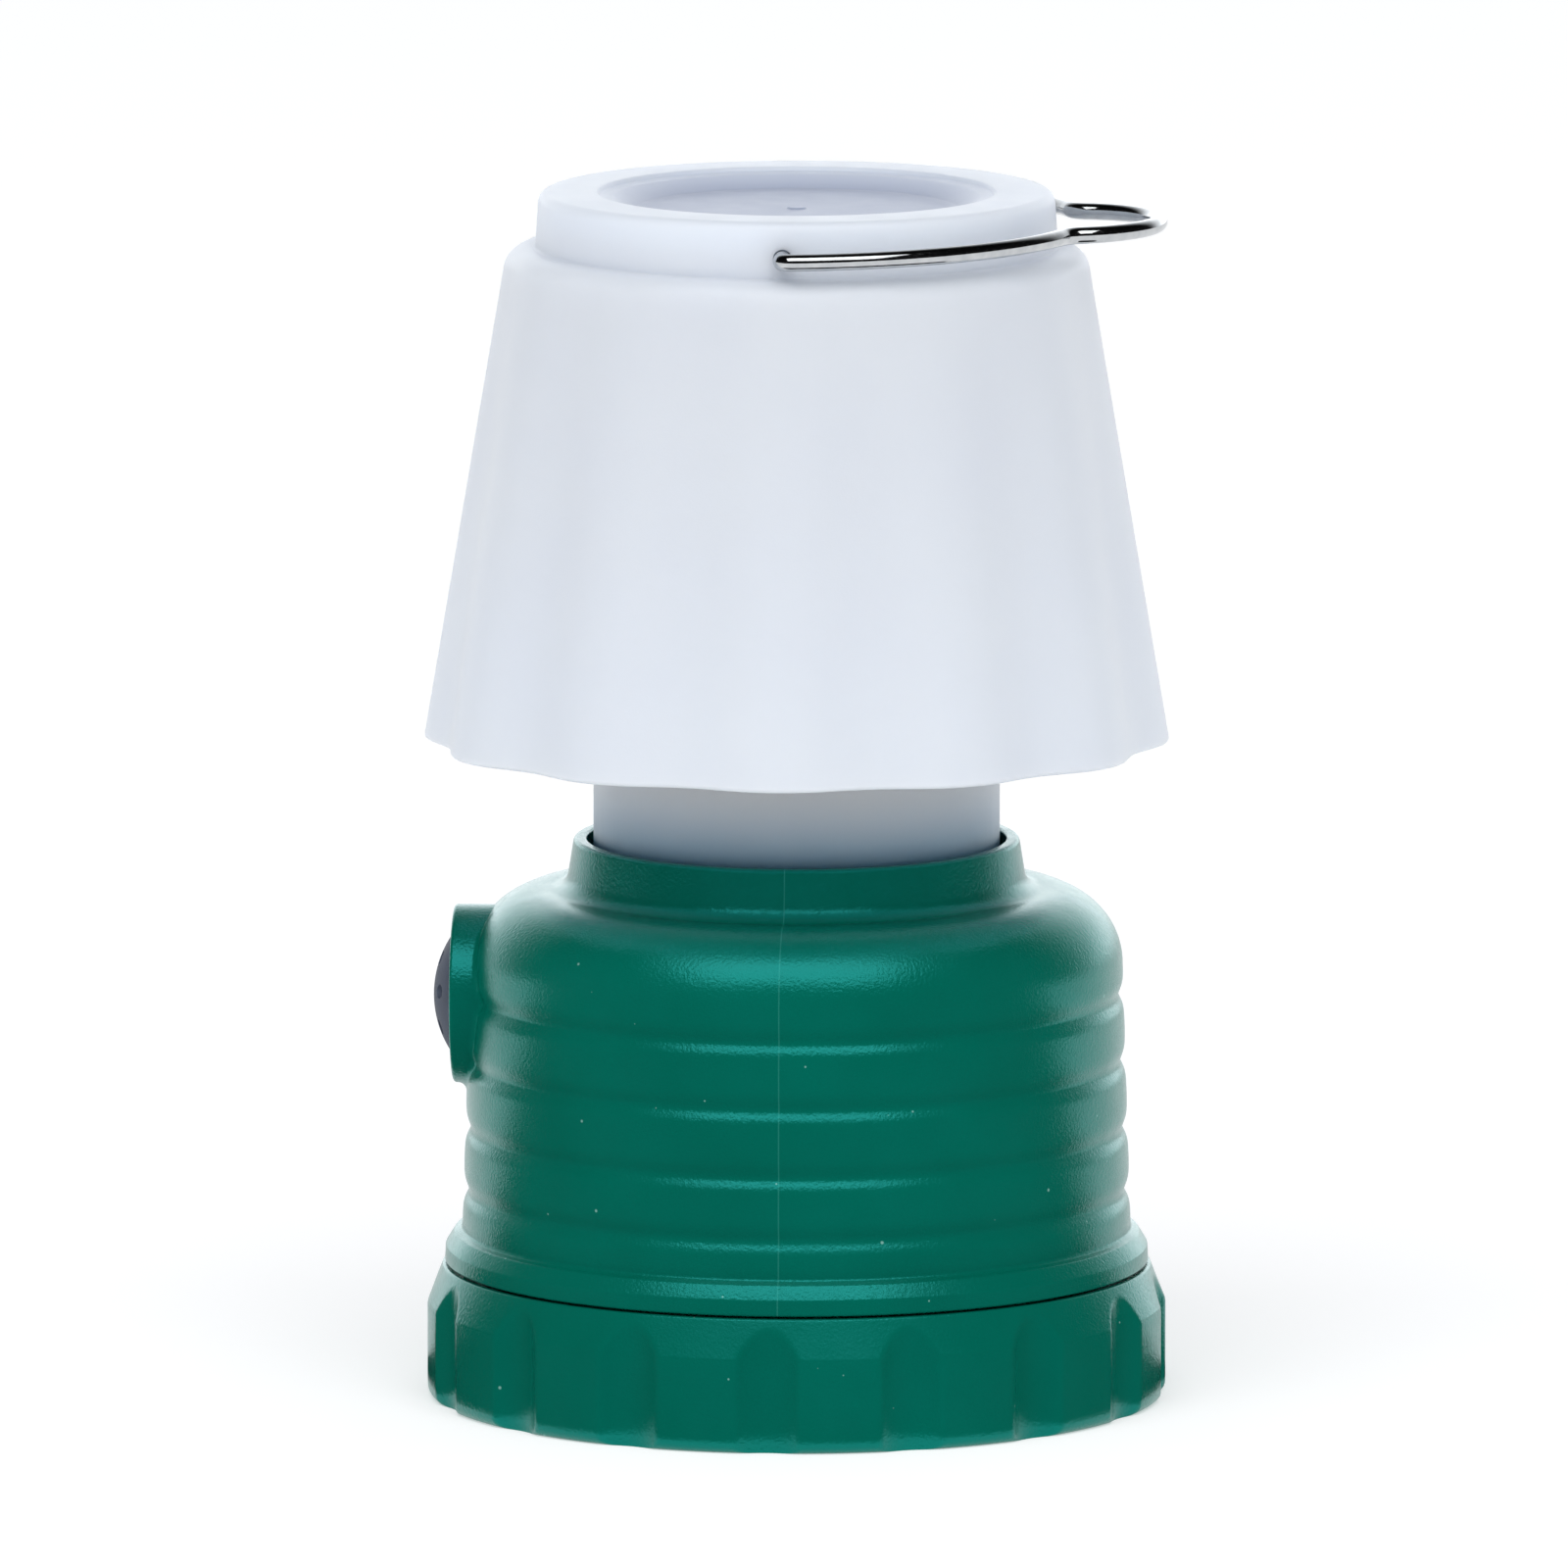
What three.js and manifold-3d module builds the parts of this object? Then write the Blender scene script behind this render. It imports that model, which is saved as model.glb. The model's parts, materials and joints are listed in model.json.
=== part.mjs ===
// Small camping lantern in the shape of a table lamp: a ribbed housing with a
// screw-on battery cap, a frosted light column, a fluted shade and a wire bail.
// Units are millimetres, +Z is up. The origin is the centre of the cap's
// underside, -Y is the front, -X is the side with the push button.

import * as THREE from 'three';
import { mergeVertices } from 'three/addons/utils/BufferGeometryUtils.js';
import Module from 'manifold-3d';

const wasm = await Module();
wasm.setup();

// ---------------------------------------------------------------------------
// Driving dimensions
// ---------------------------------------------------------------------------

const GAP = 0.3; // left between touching pieces

const CAP = {
  radius: 40, // outside, over the grip
  footRadius: 38.9, // where the rounded lower edge meets the table
  height: 14.25,
  rimRadius: 38.3, // outer edge of the chamfered top
  chamferLevel: 10.1,
  boreRadius: 36.9,
  floor: 2,
  scallops: 16,
  scallopDepth: 1.28,
  scallopWidth: 7.2,
  scallopTurn: -1.4, // degrees from +X to the first scallop
};

const THREAD = {
  starts: 3,
  lead: 9,
  span: 150, // degrees of helix in each ridge
  steps: 15,
  ridgeHeight: 1,
  depth: 1.05,
  level: 6.9, // middle of each housing ridge at its low end
};

const HOUSING = {
  skirtRadius: 35.5, // threaded part inside the cap
  skirtLevel: 5.6,
  flangeLevel: 14.6,
  flangeRadius: 38,
  wallRadiusLow: 36.1,
  wallRadiusHigh: 35.2,
  wallLow: 18.3,
  wallHigh: 47,
  innerRadius: 33.1,
  shoulderFillet: 8.1,
  shoulderTop: 55.1,
  neckFillet: 2,
  collarRadiusLow: 24.9,
  collarRadiusHigh: 24,
  collarBore: 22.6,
  collarTop: 60.7,
  throatRadius: 24.4, // outside of the collar's extension inside the housing
  throatLevel: 48.7,
  ceiling: 53.1,
};
const GROOVES = { levels: [22.3, 29.1, 36.4, 43.6], depth: 0.55, halfWidth: 1.7 };

const BUTTON = {
  level: 43.3,
  bossRadius: 9.65,
  bossFace: 37, // distance of the boss's end face from the lantern's axis
  bossRoot: 31.2,
  faceThickness: 1.4,
  openingRadius: 6.75,
  chamberRadius: 8.15,
  domeRadius: 6.45,
  domeTip: 39.2,
  domeEdge: 37.2,
  flangeRadius: 7.85,
  flangeThickness: 1.2,
  stemRadius: 1.5,
  stemEnd: 31.6,
};

const SWITCH = {
  plungerRadius: 1.6,
  plungerLength: 1.7,
  bodySize: 6.2,
  bodyFace: 30.4,
  bodyDepth: 3.4,
  wellRadius: 1.95,
  boardFace: 26.7,
  boardThickness: 1.6,
  boardHalfWidth: 15,
  boardLow: 34.8,
  boardHigh: 51.3,
  screwY: 12.5,
  screwLevel: 38.5,
  postRadius: 2.2,
  pilotRadius: 1.3,
};

const TUBE = {
  radius: 21.9,
  bore: 20.4,
  low: 46.8,
  high: 118,
  flangeRadius: 24.6,
  flangeThickness: 1.6,
};

const SLEEVE = {
  bore: 18.6,
  radius: 19.9,
  plateRadius: 31.2,
  plateLow: 44.5,
  plateHigh: 46.5,
  ledgeLow: 62.4,
  ledgeHigh: 63.9,
  ledgeBore: 13,
  flatX: -22.5, // the plate is cut off here to clear the switch board
  screwCircle: 29,
  screws: 3,
  bossRadius: 2.6,
  pilotRadius: 1.5,
  screwHole: 1.6,
  cableSlot: 5.4,
};

const SHADE = {
  flutes: 12,
  fluteDepth: 1.8, // crest to trough at the lower edge
  low: 71.3,
  crestRadius: 40.2,
  shoulderLevel: 121.9,
  shoulderRadius: 31.6,
  shoulderTop: 124.8,
  thickness: 1.5,
  capRadiusLow: 28.1,
  capRadiusHigh: 27.7,
  top: 130.8,
  capBore: 26.3,
  stepRadius: 21.4,
  dishRadius: 19.8,
  dishFloorRadius: 17.4,
  dishFloor: 128.9,
  ceiling: 127.4,
  socketRadius: 23.7,
  socketBore: 22.2,
  socketLow: 108,
  stopBore: 18.5,
};

const BAIL = {
  wire: 1.85,
  pivotLevel: 126.95,
  armRadius: 31.4,
  stubEnd: 24.8,
  holeRadius: 1.25,
  bendRadius: 1.4,
  kinkRadius: 2.2, // where an arm turns out into the hanging loop
  loopRadius: 10.8,
  loopTip: 38.95,
  rise: 1, // degrees above level when folded down
};

const CELL = { radius: 7.1, length: 50.5, nubRadius: 2.75, nubHeight: 1, circle: 9.6 };

const CARRIER = {
  radius: 17.8,
  low: 2.4,
  discThickness: 1.4,
  high: 60,
  coreRadius: 2,
  ribThickness: 1.2,
  ribReach: 16.8,
  platesLow: 4.1, // underside of the lower contact plates
  platesHigh: 58.2, // top of the upper contact plates
  plateThickness: 0.4,
  springHeight: 1.9,
};

const LED_BOARD = { radius: 19.2, low: 64.2, thickness: 1.6, screwCircle: 16.2, screwHole: 1.1 };

const LED = {
  count: 3,
  circle: 6,
  firstAngle: 30,
  packageHalf: 1.8,
  packageHeight: 0.9,
  lensRadius: 1.6,
  lensLow: 0.8,
};

const DISH = { bore: 11, footRadius: 12.4, rise: 3.6, thickness: 1 }; // white, round the emitters

const CONE = { depth: 15, rim: 1.4, lip: 2, wall: 2.6 }; // hangs in the top of the column

const LEADS = { diameter: 1, spacing: 2.8, level: 41, bend: 2 };

// Pan-head screws: shank radius, head radius and height, shank length.
const SWITCH_SCREW = { shank: 1, head: 2.1, headHeight: 1.4, length: 5.4 };
const BOARD_SCREW = { shank: 0.8, head: 1.7, headHeight: 1.1, length: 3.2 };
const SLEEVE_SCREW = {
  shank: 1.2,
  head: 2.3,
  headHeight: 1.6,
  length: HOUSING.ceiling - SLEEVE.plateLow - 1.5,
};

const TURN = 2 * Math.PI;
const SEGMENTS = { housing: 36, cap: 64, shade: 48, tube: 32, small: 16 };

// ---------------------------------------------------------------------------
// Materials
// ---------------------------------------------------------------------------

const material = (color, roughness, metalness = 0, extra = {}) =>
  new THREE.MeshStandardMaterial({ color, roughness, metalness, ...extra });

const GREEN_PLASTIC = material(0x027765, 0.45);
const FROSTED_PLASTIC = material(0xe4e9f2, 0.5, 0, { transparent: true, opacity: 0.9 });
const COLUMN_PLASTIC = material(0xc3ccd8, 0.45, 0, { transparent: true, opacity: 0.85 });
const WHITE_PLASTIC = material(0xf1f1ee, 0.5);
const BLACK_PLASTIC = material(0x1c1d1f, 0.6);
const SLATE_RUBBER = material(0x555c6c, 0.7);
const SEAL_RUBBER = material(0x202020, 0.8);
const STEEL_WIRE = material(0xc9cccf, 0.12, 1);
const NICKEL = material(0xb8b6ae, 0.3, 1);
const SCREW_STEEL = material(0x9fa3a6, 0.35, 1);
const BOARD_GREEN = material(0x1f5f3a, 0.5);
const BOARD_WHITE = material(0xeef0ee, 0.4);
const LED_YELLOW = material(0xf2d64b, 0.25);
const CELL_JACKET = material(0x3f4a58, 0.35, 0.4);
const REFLECTOR_SILVER = material(0xd9dcde, 0.1, 1);
const LEAD_RED = material(0xb3221c, 0.5);
const LEAD_BLACK = material(0x161616, 0.5);

// ---------------------------------------------------------------------------
// Geometry helpers
// ---------------------------------------------------------------------------

const v2 = (x, y) => new THREE.Vector2(x, y);
const radians = THREE.MathUtils.degToRad;

// Points on an arc in a profile, from one angle to another in degrees.
function arc(centreX, centreY, radius, from, to, steps) {
  return Array.from({ length: steps + 1 }, (_, i) => {
    const angle = radians(from + ((to - from) * i) / steps);
    return v2(centreX + radius * Math.cos(angle), centreY + radius * Math.sin(angle));
  });
}

// A solid of revolution about Z. The profile runs up the outside, (radius, level).
function turned(profile, segments) {
  return new THREE.LatheGeometry(profile, segments).rotateX(Math.PI / 2);
}

// A closed ring of revolution: the profile's last point joins its first.
function turnedRing(profile, segments) {
  return turned([...profile, profile[0].clone()], segments);
}

const tube = (bore, radius, low, high, segments) =>
  turnedRing([v2(bore, low), v2(radius, low), v2(radius, high), v2(bore, high)], segments);

const rod = (radius, low, high, segments = SEGMENTS.small) =>
  turned([v2(0, low), v2(radius, low), v2(radius, high), v2(0, high)], segments);

// A box given by its lowest and highest corners.
function block(low, high) {
  const size = high.map((value, i) => value - low[i]);
  const middle = high.map((value, i) => (value + low[i]) / 2);
  return new THREE.BoxGeometry(...size).translate(...middle);
}

// Turns a shape made about Z so that its +Z points along -X at the button's level.
const facingButtonSide = (geometry) => geometry.rotateY(-Math.PI / 2).translate(0, 0, BUTTON.level);

function placeOnCircle(geometry, radius, degrees) {
  return geometry.translate(radius, 0, 0).rotateZ(radians(degrees));
}

// A rod of the given section swept along a curve, with closed ends.
function swept(curve, diameter, sides, steps) {
  const section = new THREE.Shape(
    arc(0, 0, diameter / 2, 0, 360, sides).slice(0, sides),
  );
  return new THREE.ExtrudeGeometry(section, { steps, extrudePath: curve, bevelEnabled: false });
}

// A block bent round the Z axis and drawn out into a helix.
function helicalRidge({ inner, outer, level, start, height }) {
  const ridge = new THREE.BoxGeometry(1, 1, 1, THREAD.steps, 1, 1);
  const points = ridge.attributes.position;
  for (let i = 0; i < points.count; i += 1) {
    const turn = radians(start + (points.getX(i) + 0.5) * THREAD.span);
    const climb = (THREAD.lead * (points.getX(i) + 0.5) * THREAD.span) / 360;
    const radius = THREE.MathUtils.lerp(inner, outer, points.getZ(i) + 0.5);
    points.setXYZ(i, radius * Math.cos(turn), radius * Math.sin(turn),
      level + climb + points.getY(i) * height);
  }
  return ridge;
}

class CoilCurve extends THREE.Curve {
  constructor({ radiusLow, radiusHigh, low, high, turns }) {
    super();
    Object.assign(this, { radiusLow, radiusHigh, low, high, turns });
  }

  getPoint(t, target = new THREE.Vector3()) {
    const radius = THREE.MathUtils.lerp(this.radiusLow, this.radiusHigh, t);
    const angle = TURN * this.turns * t;
    return target.set(radius * Math.cos(angle), radius * Math.sin(angle),
      THREE.MathUtils.lerp(this.low, this.high, t));
  }
}

// A coil spring whose wire stays between the two levels.
function coilSpring({ low, high, radiusLow, radiusHigh, wire, turns }) {
  const coil = new CoilCurve({
    radiusLow, radiusHigh, low: low + wire / 2, high: high - wire / 2, turns,
  });
  return swept(coil, wire, 5, Math.round(turns * 8));
}

// A path through the given corners, each rounded by its own radius.
function roundedPath(corners, arcSteps = 5) {
  const points = [corners[0].at];
  for (let i = 1; i < corners.length - 1; i += 1) {
    const { at, radius } = corners[i];
    if (!radius) {
      points.push(at);
      continue;
    }
    const back = corners[i - 1].at.clone().sub(at).normalize();
    const ahead = corners[i + 1].at.clone().sub(at).normalize();
    const half = back.angleTo(ahead) / 2;
    const centre = back.clone().add(ahead).normalize().multiplyScalar(radius / Math.sin(half));
    const from = back.clone().multiplyScalar(radius / Math.tan(half)).sub(centre);
    const axis = back.clone().cross(ahead).normalize();
    const sweep = Math.PI - 2 * half;
    for (let k = 0; k <= arcSteps; k += 1) {
      const spoke = from.clone().applyAxisAngle(axis, (-sweep * k) / arcSteps);
      points.push(at.clone().add(centre).add(spoke));
    }
  }
  points.push(corners[corners.length - 1].at);
  return new THREE.CatmullRomCurve3(points, false, 'centripetal');
}

// ---------------------------------------------------------------------------
// Joining and cutting
// ---------------------------------------------------------------------------

function solid(geometry) {
  const bare = geometry.clone();
  bare.deleteAttribute('normal');
  bare.deleteAttribute('uv');
  const welded = mergeVertices(bare, 1e-4);
  return new wasm.Manifold(new wasm.Mesh({
    numProp: 3,
    vertProperties: Float32Array.from(welded.attributes.position.array),
    triVerts: Uint32Array.from(welded.index.array),
  }));
}

function geometryOf(manifold) {
  const mesh = manifold.getMesh();
  const geometry = new THREE.BufferGeometry();
  geometry.setAttribute('position', new THREE.BufferAttribute(mesh.vertProperties, 3));
  geometry.setIndex(new THREE.BufferAttribute(mesh.triVerts, 1));
  geometry.computeVertexNormals();
  return geometry;
}

const joined = (...geometries) => geometries.map(solid).reduce((sum, next) => sum.add(next));
const cut = (body, ...tools) => tools.reduce((left, tool) => left.subtract(solid(tool)), body);

// ---------------------------------------------------------------------------
// Scene graph
// ---------------------------------------------------------------------------

const lantern = new THREE.Group();

function addPiece(parent, name, shape, finish) {
  const geometry = shape.isBufferGeometry ? shape : geometryOf(shape);
  const mesh = new THREE.Mesh(geometry, finish);
  mesh.name = name;
  parent.add(mesh);
  return mesh;
}

function addGroup(parent = lantern) {
  const group = new THREE.Group();
  parent.add(group);
  return group;
}

// ---------------------------------------------------------------------------
// Battery cap and its gasket
// ---------------------------------------------------------------------------

function threadRidges(inner, outer, level) {
  return Array.from({ length: THREAD.starts }, (_, i) =>
    helicalRidge({
      inner, outer, level, start: (360 * i) / THREAD.starts, height: THREAD.ridgeHeight,
    }));
}

// One grip hollow: an upright cutter that runs out through the chamfer as an arch.
function scallopCutter() {
  const half = CAP.scallopWidth / 2;
  const radius = (half ** 2 + CAP.scallopDepth ** 2) / (2 * CAP.scallopDepth);
  return rod(radius, -1, CAP.height + 1, 24).translate(CAP.radius - CAP.scallopDepth + radius, 0, 0);
}

function baseCap() {
  const shell = turned([
    v2(0, 0),
    v2(CAP.footRadius, 0),
    v2(CAP.radius - 0.25, 1.2),
    v2(CAP.radius, 3),
    v2(CAP.radius, CAP.chamferLevel),
    v2(CAP.rimRadius, CAP.height - 0.3),
    v2(CAP.rimRadius - 0.3, CAP.height),
    v2(CAP.boreRadius, CAP.height),
    v2(CAP.boreRadius, CAP.floor),
    v2(0, CAP.floor),
  ], SEGMENTS.cap);
  const pitch = THREAD.lead / THREAD.starts;
  const ridges = threadRidges(
    CAP.boreRadius - THREAD.depth, CAP.boreRadius + 0.4, THREAD.level + pitch / 2,
  );
  const scallops = Array.from({ length: CAP.scallops }, (_, i) =>
    scallopCutter().rotateZ((TURN * i) / CAP.scallops + radians(CAP.scallopTurn)));
  return cut(joined(shell, ...ridges), ...scallops);
}

// A flat ring on the cap's floor, under the housing's skirt.
function capGasket() {
  const high = HOUSING.skirtLevel - 1;
  return tube(HOUSING.innerRadius, CAP.boreRadius - 0.5, CAP.floor + GAP, high, SEGMENTS.housing);
}

const capGroup = addGroup();
addPiece(capGroup, 'base_cap', baseCap(), GREEN_PLASTIC);
addPiece(capGroup, 'cap_gasket', capGasket(), SEAL_RUBBER);

// ---------------------------------------------------------------------------
// Housing
// ---------------------------------------------------------------------------

// Radius of the plain wall, which narrows upwards.
function wallRadius(level) {
  const { wallRadiusLow, wallRadiusHigh, wallLow, wallHigh } = HOUSING;
  return THREE.MathUtils.mapLinear(level, wallLow, wallHigh, wallRadiusLow, wallRadiusHigh);
}

function grooveProfile(level) {
  const { depth, halfWidth } = GROOVES;
  return [
    v2(wallRadius(level - halfWidth), level - halfWidth),
    v2(wallRadius(level) - depth, level),
    v2(wallRadius(level + halfWidth), level + halfWidth),
  ];
}

function housingShell() {
  const h = HOUSING;
  const filletCentre = h.wallRadiusHigh - h.shoulderFillet;
  const innerFillet = h.innerRadius - filletCentre;
  return turnedRing([
    v2(h.innerRadius, h.skirtLevel),
    v2(h.skirtRadius, h.skirtLevel),
    v2(h.skirtRadius, h.flangeLevel),
    v2(h.flangeRadius - 0.3, h.flangeLevel),
    v2(h.flangeRadius, h.flangeLevel + 0.4),
    v2(h.flangeRadius - 0.15, h.flangeLevel + 1.6),
    v2(h.flangeRadius - 0.8, h.flangeLevel + 2.2),
    v2(h.flangeRadius - 1.1, h.flangeLevel + 3.1),
    v2(h.wallRadiusLow, h.wallLow),
    ...GROOVES.levels.flatMap(grooveProfile),
    ...arc(filletCentre, h.wallHigh, h.shoulderFillet, 0, 90, 4),
    ...arc(h.collarRadiusLow + h.neckFillet, h.shoulderTop + h.neckFillet, h.neckFillet, 262, 180, 2),
    v2(h.collarRadiusHigh, h.collarTop - 0.7),
    v2(h.collarRadiusHigh - 0.5, h.collarTop),
    v2(h.collarBore, h.collarTop),
    v2(h.collarBore, h.throatLevel),
    v2(h.throatRadius, h.throatLevel),
    v2(h.throatRadius, h.ceiling),
    ...arc(filletCentre, h.wallHigh, innerFillet, 90, 0, 3),
  ], SEGMENTS.housing);
}

function screwBosses(radius, low, high) {
  return Array.from({ length: SLEEVE.screws }, (_, i) =>
    placeOnCircle(rod(radius, low, high, 12), SLEEVE.screwCircle, (360 * i) / SLEEVE.screws));
}

// The posts that carry the switch board run in from the wall on the button side.
function switchPosts(radius, from, to) {
  return [-1, 1].map((side) => rod(radius, from, to, 12)
    .rotateY(-Math.PI / 2)
    .translate(0, side * SWITCH.screwY, SWITCH.screwLevel));
}

function housing() {
  const boss = facingButtonSide(turned([
    v2(0, BUTTON.bossRoot),
    v2(BUTTON.bossRadius, BUTTON.bossRoot),
    v2(BUTTON.bossRadius, BUTTON.bossFace - 0.5),
    v2(BUTTON.bossRadius - 0.5, BUTTON.bossFace),
    v2(0, BUTTON.bossFace),
  ], 32));
  const chamber = facingButtonSide(
    rod(BUTTON.chamberRadius, BUTTON.bossRoot - 6, BUTTON.bossFace - BUTTON.faceThickness, 24));
  const opening = facingButtonSide(
    rod(BUTTON.openingRadius, BUTTON.bossRoot, BUTTON.bossFace + 1, 24));
  const ridges = threadRidges(
    HOUSING.skirtRadius - 0.4, HOUSING.skirtRadius + THREAD.depth, THREAD.level);
  const postRoot = SWITCH.boardFace + GAP;
  const whole = joined(
    housingShell(), boss, ...ridges,
    ...screwBosses(SLEEVE.bossRadius, TUBE.low, HOUSING.ceiling - 0.1),
    ...switchPosts(SWITCH.postRadius, postRoot, HOUSING.innerRadius - 1),
  );
  return cut(whole, chamber, opening,
    ...screwBosses(SLEEVE.pilotRadius, TUBE.low - 1, HOUSING.ceiling - 1.1),
    ...switchPosts(SWITCH.pilotRadius, postRoot - 1, HOUSING.innerRadius - 2));
}

const bodyGroup = addGroup();
addPiece(bodyGroup, 'housing', housing(), GREEN_PLASTIC);

// ---------------------------------------------------------------------------
// Push button and switch
// ---------------------------------------------------------------------------

function powerButton() {
  const b = BUTTON;
  const flangeFront = b.bossFace - b.faceThickness - GAP;
  const rise = b.domeTip - b.domeEdge;
  const sphere = (b.domeRadius ** 2 + rise ** 2) / (2 * rise);
  const edgeAngle = THREE.MathUtils.radToDeg(Math.asin(b.domeRadius / sphere));
  return facingButtonSide(turned([
    v2(0, b.stemEnd),
    v2(b.stemRadius, b.stemEnd),
    v2(b.stemRadius, flangeFront - b.flangeThickness),
    v2(b.flangeRadius, flangeFront - b.flangeThickness),
    v2(b.flangeRadius, flangeFront),
    v2(b.domeRadius, flangeFront),
    ...arc(0, b.domeTip - sphere, sphere, 90 - edgeAngle, 90, 4).slice(0, -1),
    v2(0, b.domeTip),
  ], 24));
}

function tactSwitch() {
  const half = SWITCH.bodySize / 2;
  const back = SWITCH.bodyFace - SWITCH.bodyDepth;
  const bottom = BUTTON.level - half;
  const body = block([-SWITCH.bodyFace, -half, bottom], [-back, half, bottom + SWITCH.bodySize]);
  return cut(solid(body), facingButtonSide(rod(SWITCH.wellRadius, back + 1.1, SWITCH.bodyFace + 1)));
}

function switchBoard() {
  const board = block(
    [-SWITCH.boardFace, -SWITCH.boardHalfWidth, SWITCH.boardLow],
    [-SWITCH.boardFace + SWITCH.boardThickness, SWITCH.boardHalfWidth, SWITCH.boardHigh],
  );
  return cut(solid(board),
    ...switchPosts(SWITCH.pilotRadius, SWITCH.boardFace - 3, SWITCH.boardFace + 1));
}

// A pan-head screw with its head below, made about Z from the head's underside.
function panScrew({ shank, head, headHeight, length }) {
  return turned([
    v2(0, -headHeight),
    v2(head * 0.6, -headHeight),
    v2(head, -headHeight * 0.45),
    v2(head, 0),
    v2(shank, 0),
    v2(shank, length - shank),
    v2(0, length),
  ], 12);
}

addPiece(bodyGroup, 'power_button', powerButton(), SLATE_RUBBER);
const plungerTop = BUTTON.stemEnd - GAP;
addPiece(bodyGroup, 'switch_plunger',
  facingButtonSide(rod(SWITCH.plungerRadius, plungerTop - SWITCH.plungerLength, plungerTop)),
  BLACK_PLASTIC);
addPiece(bodyGroup, 'tact_switch', tactSwitch(), BLACK_PLASTIC);
addPiece(bodyGroup, 'switch_board', switchBoard(), BOARD_GREEN);
[-1, 1].forEach((side, i) => {
  const headSeat = SWITCH.boardFace - SWITCH.boardThickness - GAP;
  const screw = panScrew(SWITCH_SCREW).rotateY(-Math.PI / 2);
  addPiece(bodyGroup, `switch_board_screw_${i + 1}`,
    screw.translate(-headSeat, side * SWITCH.screwY, SWITCH.screwLevel), SCREW_STEEL);
});

// ---------------------------------------------------------------------------
// Battery sleeve, light board and light column
// ---------------------------------------------------------------------------

function batterySleeve() {
  const s = SLEEVE;
  const shell = turnedRing([
    v2(s.bore, s.plateLow),
    v2(s.plateRadius, s.plateLow),
    v2(s.plateRadius, s.plateHigh),
    v2(s.radius, s.plateHigh),
    v2(s.radius, s.ledgeHigh),
    v2(s.ledgeBore, s.ledgeHigh),
    v2(s.ledgeBore, s.ledgeLow),
    v2(s.bore, s.ledgeLow),
  ], SEGMENTS.tube);
  const flat = block([-50, -50, s.plateLow - 1], [s.flatX, 50, s.plateHigh + 1]);
  const slot = block([-50, -s.cableSlot / 2, s.plateLow - 1],
    [-s.bore + 1.2, s.cableSlot / 2, s.ledgeHigh + 1]);
  return cut(solid(shell), flat, slot,
    ...screwBosses(s.screwHole, s.plateLow - 1, s.plateHigh + 1),
    ...boardScrewHoles(s.ledgeLow - 1, s.ledgeHigh + 1));
}

const BOARD_SCREW_ANGLES = [90, 270];

function boardScrewHoles(low, high) {
  return BOARD_SCREW_ANGLES.map((angle) =>
    placeOnCircle(rod(LED_BOARD.screwHole, low, high, 12), LED_BOARD.screwCircle, angle));
}

function ledBoard() {
  const high = LED_BOARD.low + LED_BOARD.thickness;
  const disc = rod(LED_BOARD.radius, LED_BOARD.low, high, SEGMENTS.tube);
  return cut(solid(disc), ...boardScrewHoles(LED_BOARD.low - 1, high + 1));
}

// The level at which whatever stands on the light board begins.
const ON_BOARD = LED_BOARD.low + LED_BOARD.thickness + GAP;

// A surface-mounted emitter: a square package with a small lens dome.
function ledEmitter() {
  const { packageHalf: half, packageHeight, lensRadius, lensLow } = LED;
  const lens = turned([
    v2(0, ON_BOARD + 0.3),
    ...arc(0, ON_BOARD + lensLow, lensRadius, 0, 90, 3).slice(0, -1),
    v2(0, ON_BOARD + lensLow + lensRadius),
  ], 12);
  return joined(block([-half, -half, ON_BOARD], [half, half, ON_BOARD + packageHeight]), lens);
}

function diffuserTube() {
  const t = TUBE;
  return turnedRing([
    v2(t.bore, t.low),
    v2(t.flangeRadius, t.low),
    v2(t.flangeRadius, t.low + t.flangeThickness),
    v2(t.radius, t.low + t.flangeThickness),
    v2(t.radius, t.high),
    v2(t.bore, t.high),
  ], SEGMENTS.tube);
}

// A shallow white dish round the emitters.
function ledReflector() {
  const reach = TUBE.bore - GAP;
  const { bore, footRadius, rise, thickness } = DISH;
  const top = ON_BOARD + rise + thickness;
  return turnedRing([
    v2(bore, ON_BOARD),
    v2(footRadius, ON_BOARD),
    v2(reach, ON_BOARD + rise),
    v2(reach, top),
    v2(reach - thickness, top),
  ], SEGMENTS.tube);
}

// A shallow cone, point down, that throws the light outwards.
function coneReflector() {
  const reach = TUBE.bore - GAP;
  const high = TUBE.high;
  const { depth, rim, lip, wall } = CONE;
  return turned([
    v2(0, high - depth),
    v2(reach - lip, high - rim),
    v2(reach, high - rim),
    v2(reach, high),
    v2(reach - wall, high),
    v2(0, high - depth + lip),
  ], SEGMENTS.tube);
}

const lightGroup = addGroup(bodyGroup);
addPiece(lightGroup, 'battery_sleeve', batterySleeve(), WHITE_PLASTIC);
for (let i = 0; i < SLEEVE.screws; i += 1) {
  const screw = panScrew(SLEEVE_SCREW).translate(0, 0, SLEEVE.plateLow - GAP);
  addPiece(lightGroup, `sleeve_screw_${i + 1}`,
    placeOnCircle(screw, SLEEVE.screwCircle, (360 * i) / SLEEVE.screws), SCREW_STEEL);
}
addPiece(lightGroup, 'led_board', ledBoard(), BOARD_WHITE);
for (let i = 0; i < LED.count; i += 1) {
  const angle = LED.firstAngle + (360 * i) / LED.count;
  addPiece(lightGroup, `led_${i + 1}`,
    placeOnCircle(geometryOf(ledEmitter()), LED.circle, angle), LED_YELLOW);
}
BOARD_SCREW_ANGLES.forEach((angle, i) => {
  const screw = panScrew(BOARD_SCREW).rotateX(Math.PI).translate(0, 0, ON_BOARD);
  addPiece(lightGroup, `board_screw_${i + 1}`,
    placeOnCircle(screw, LED_BOARD.screwCircle, angle), SCREW_STEEL);
});
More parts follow.
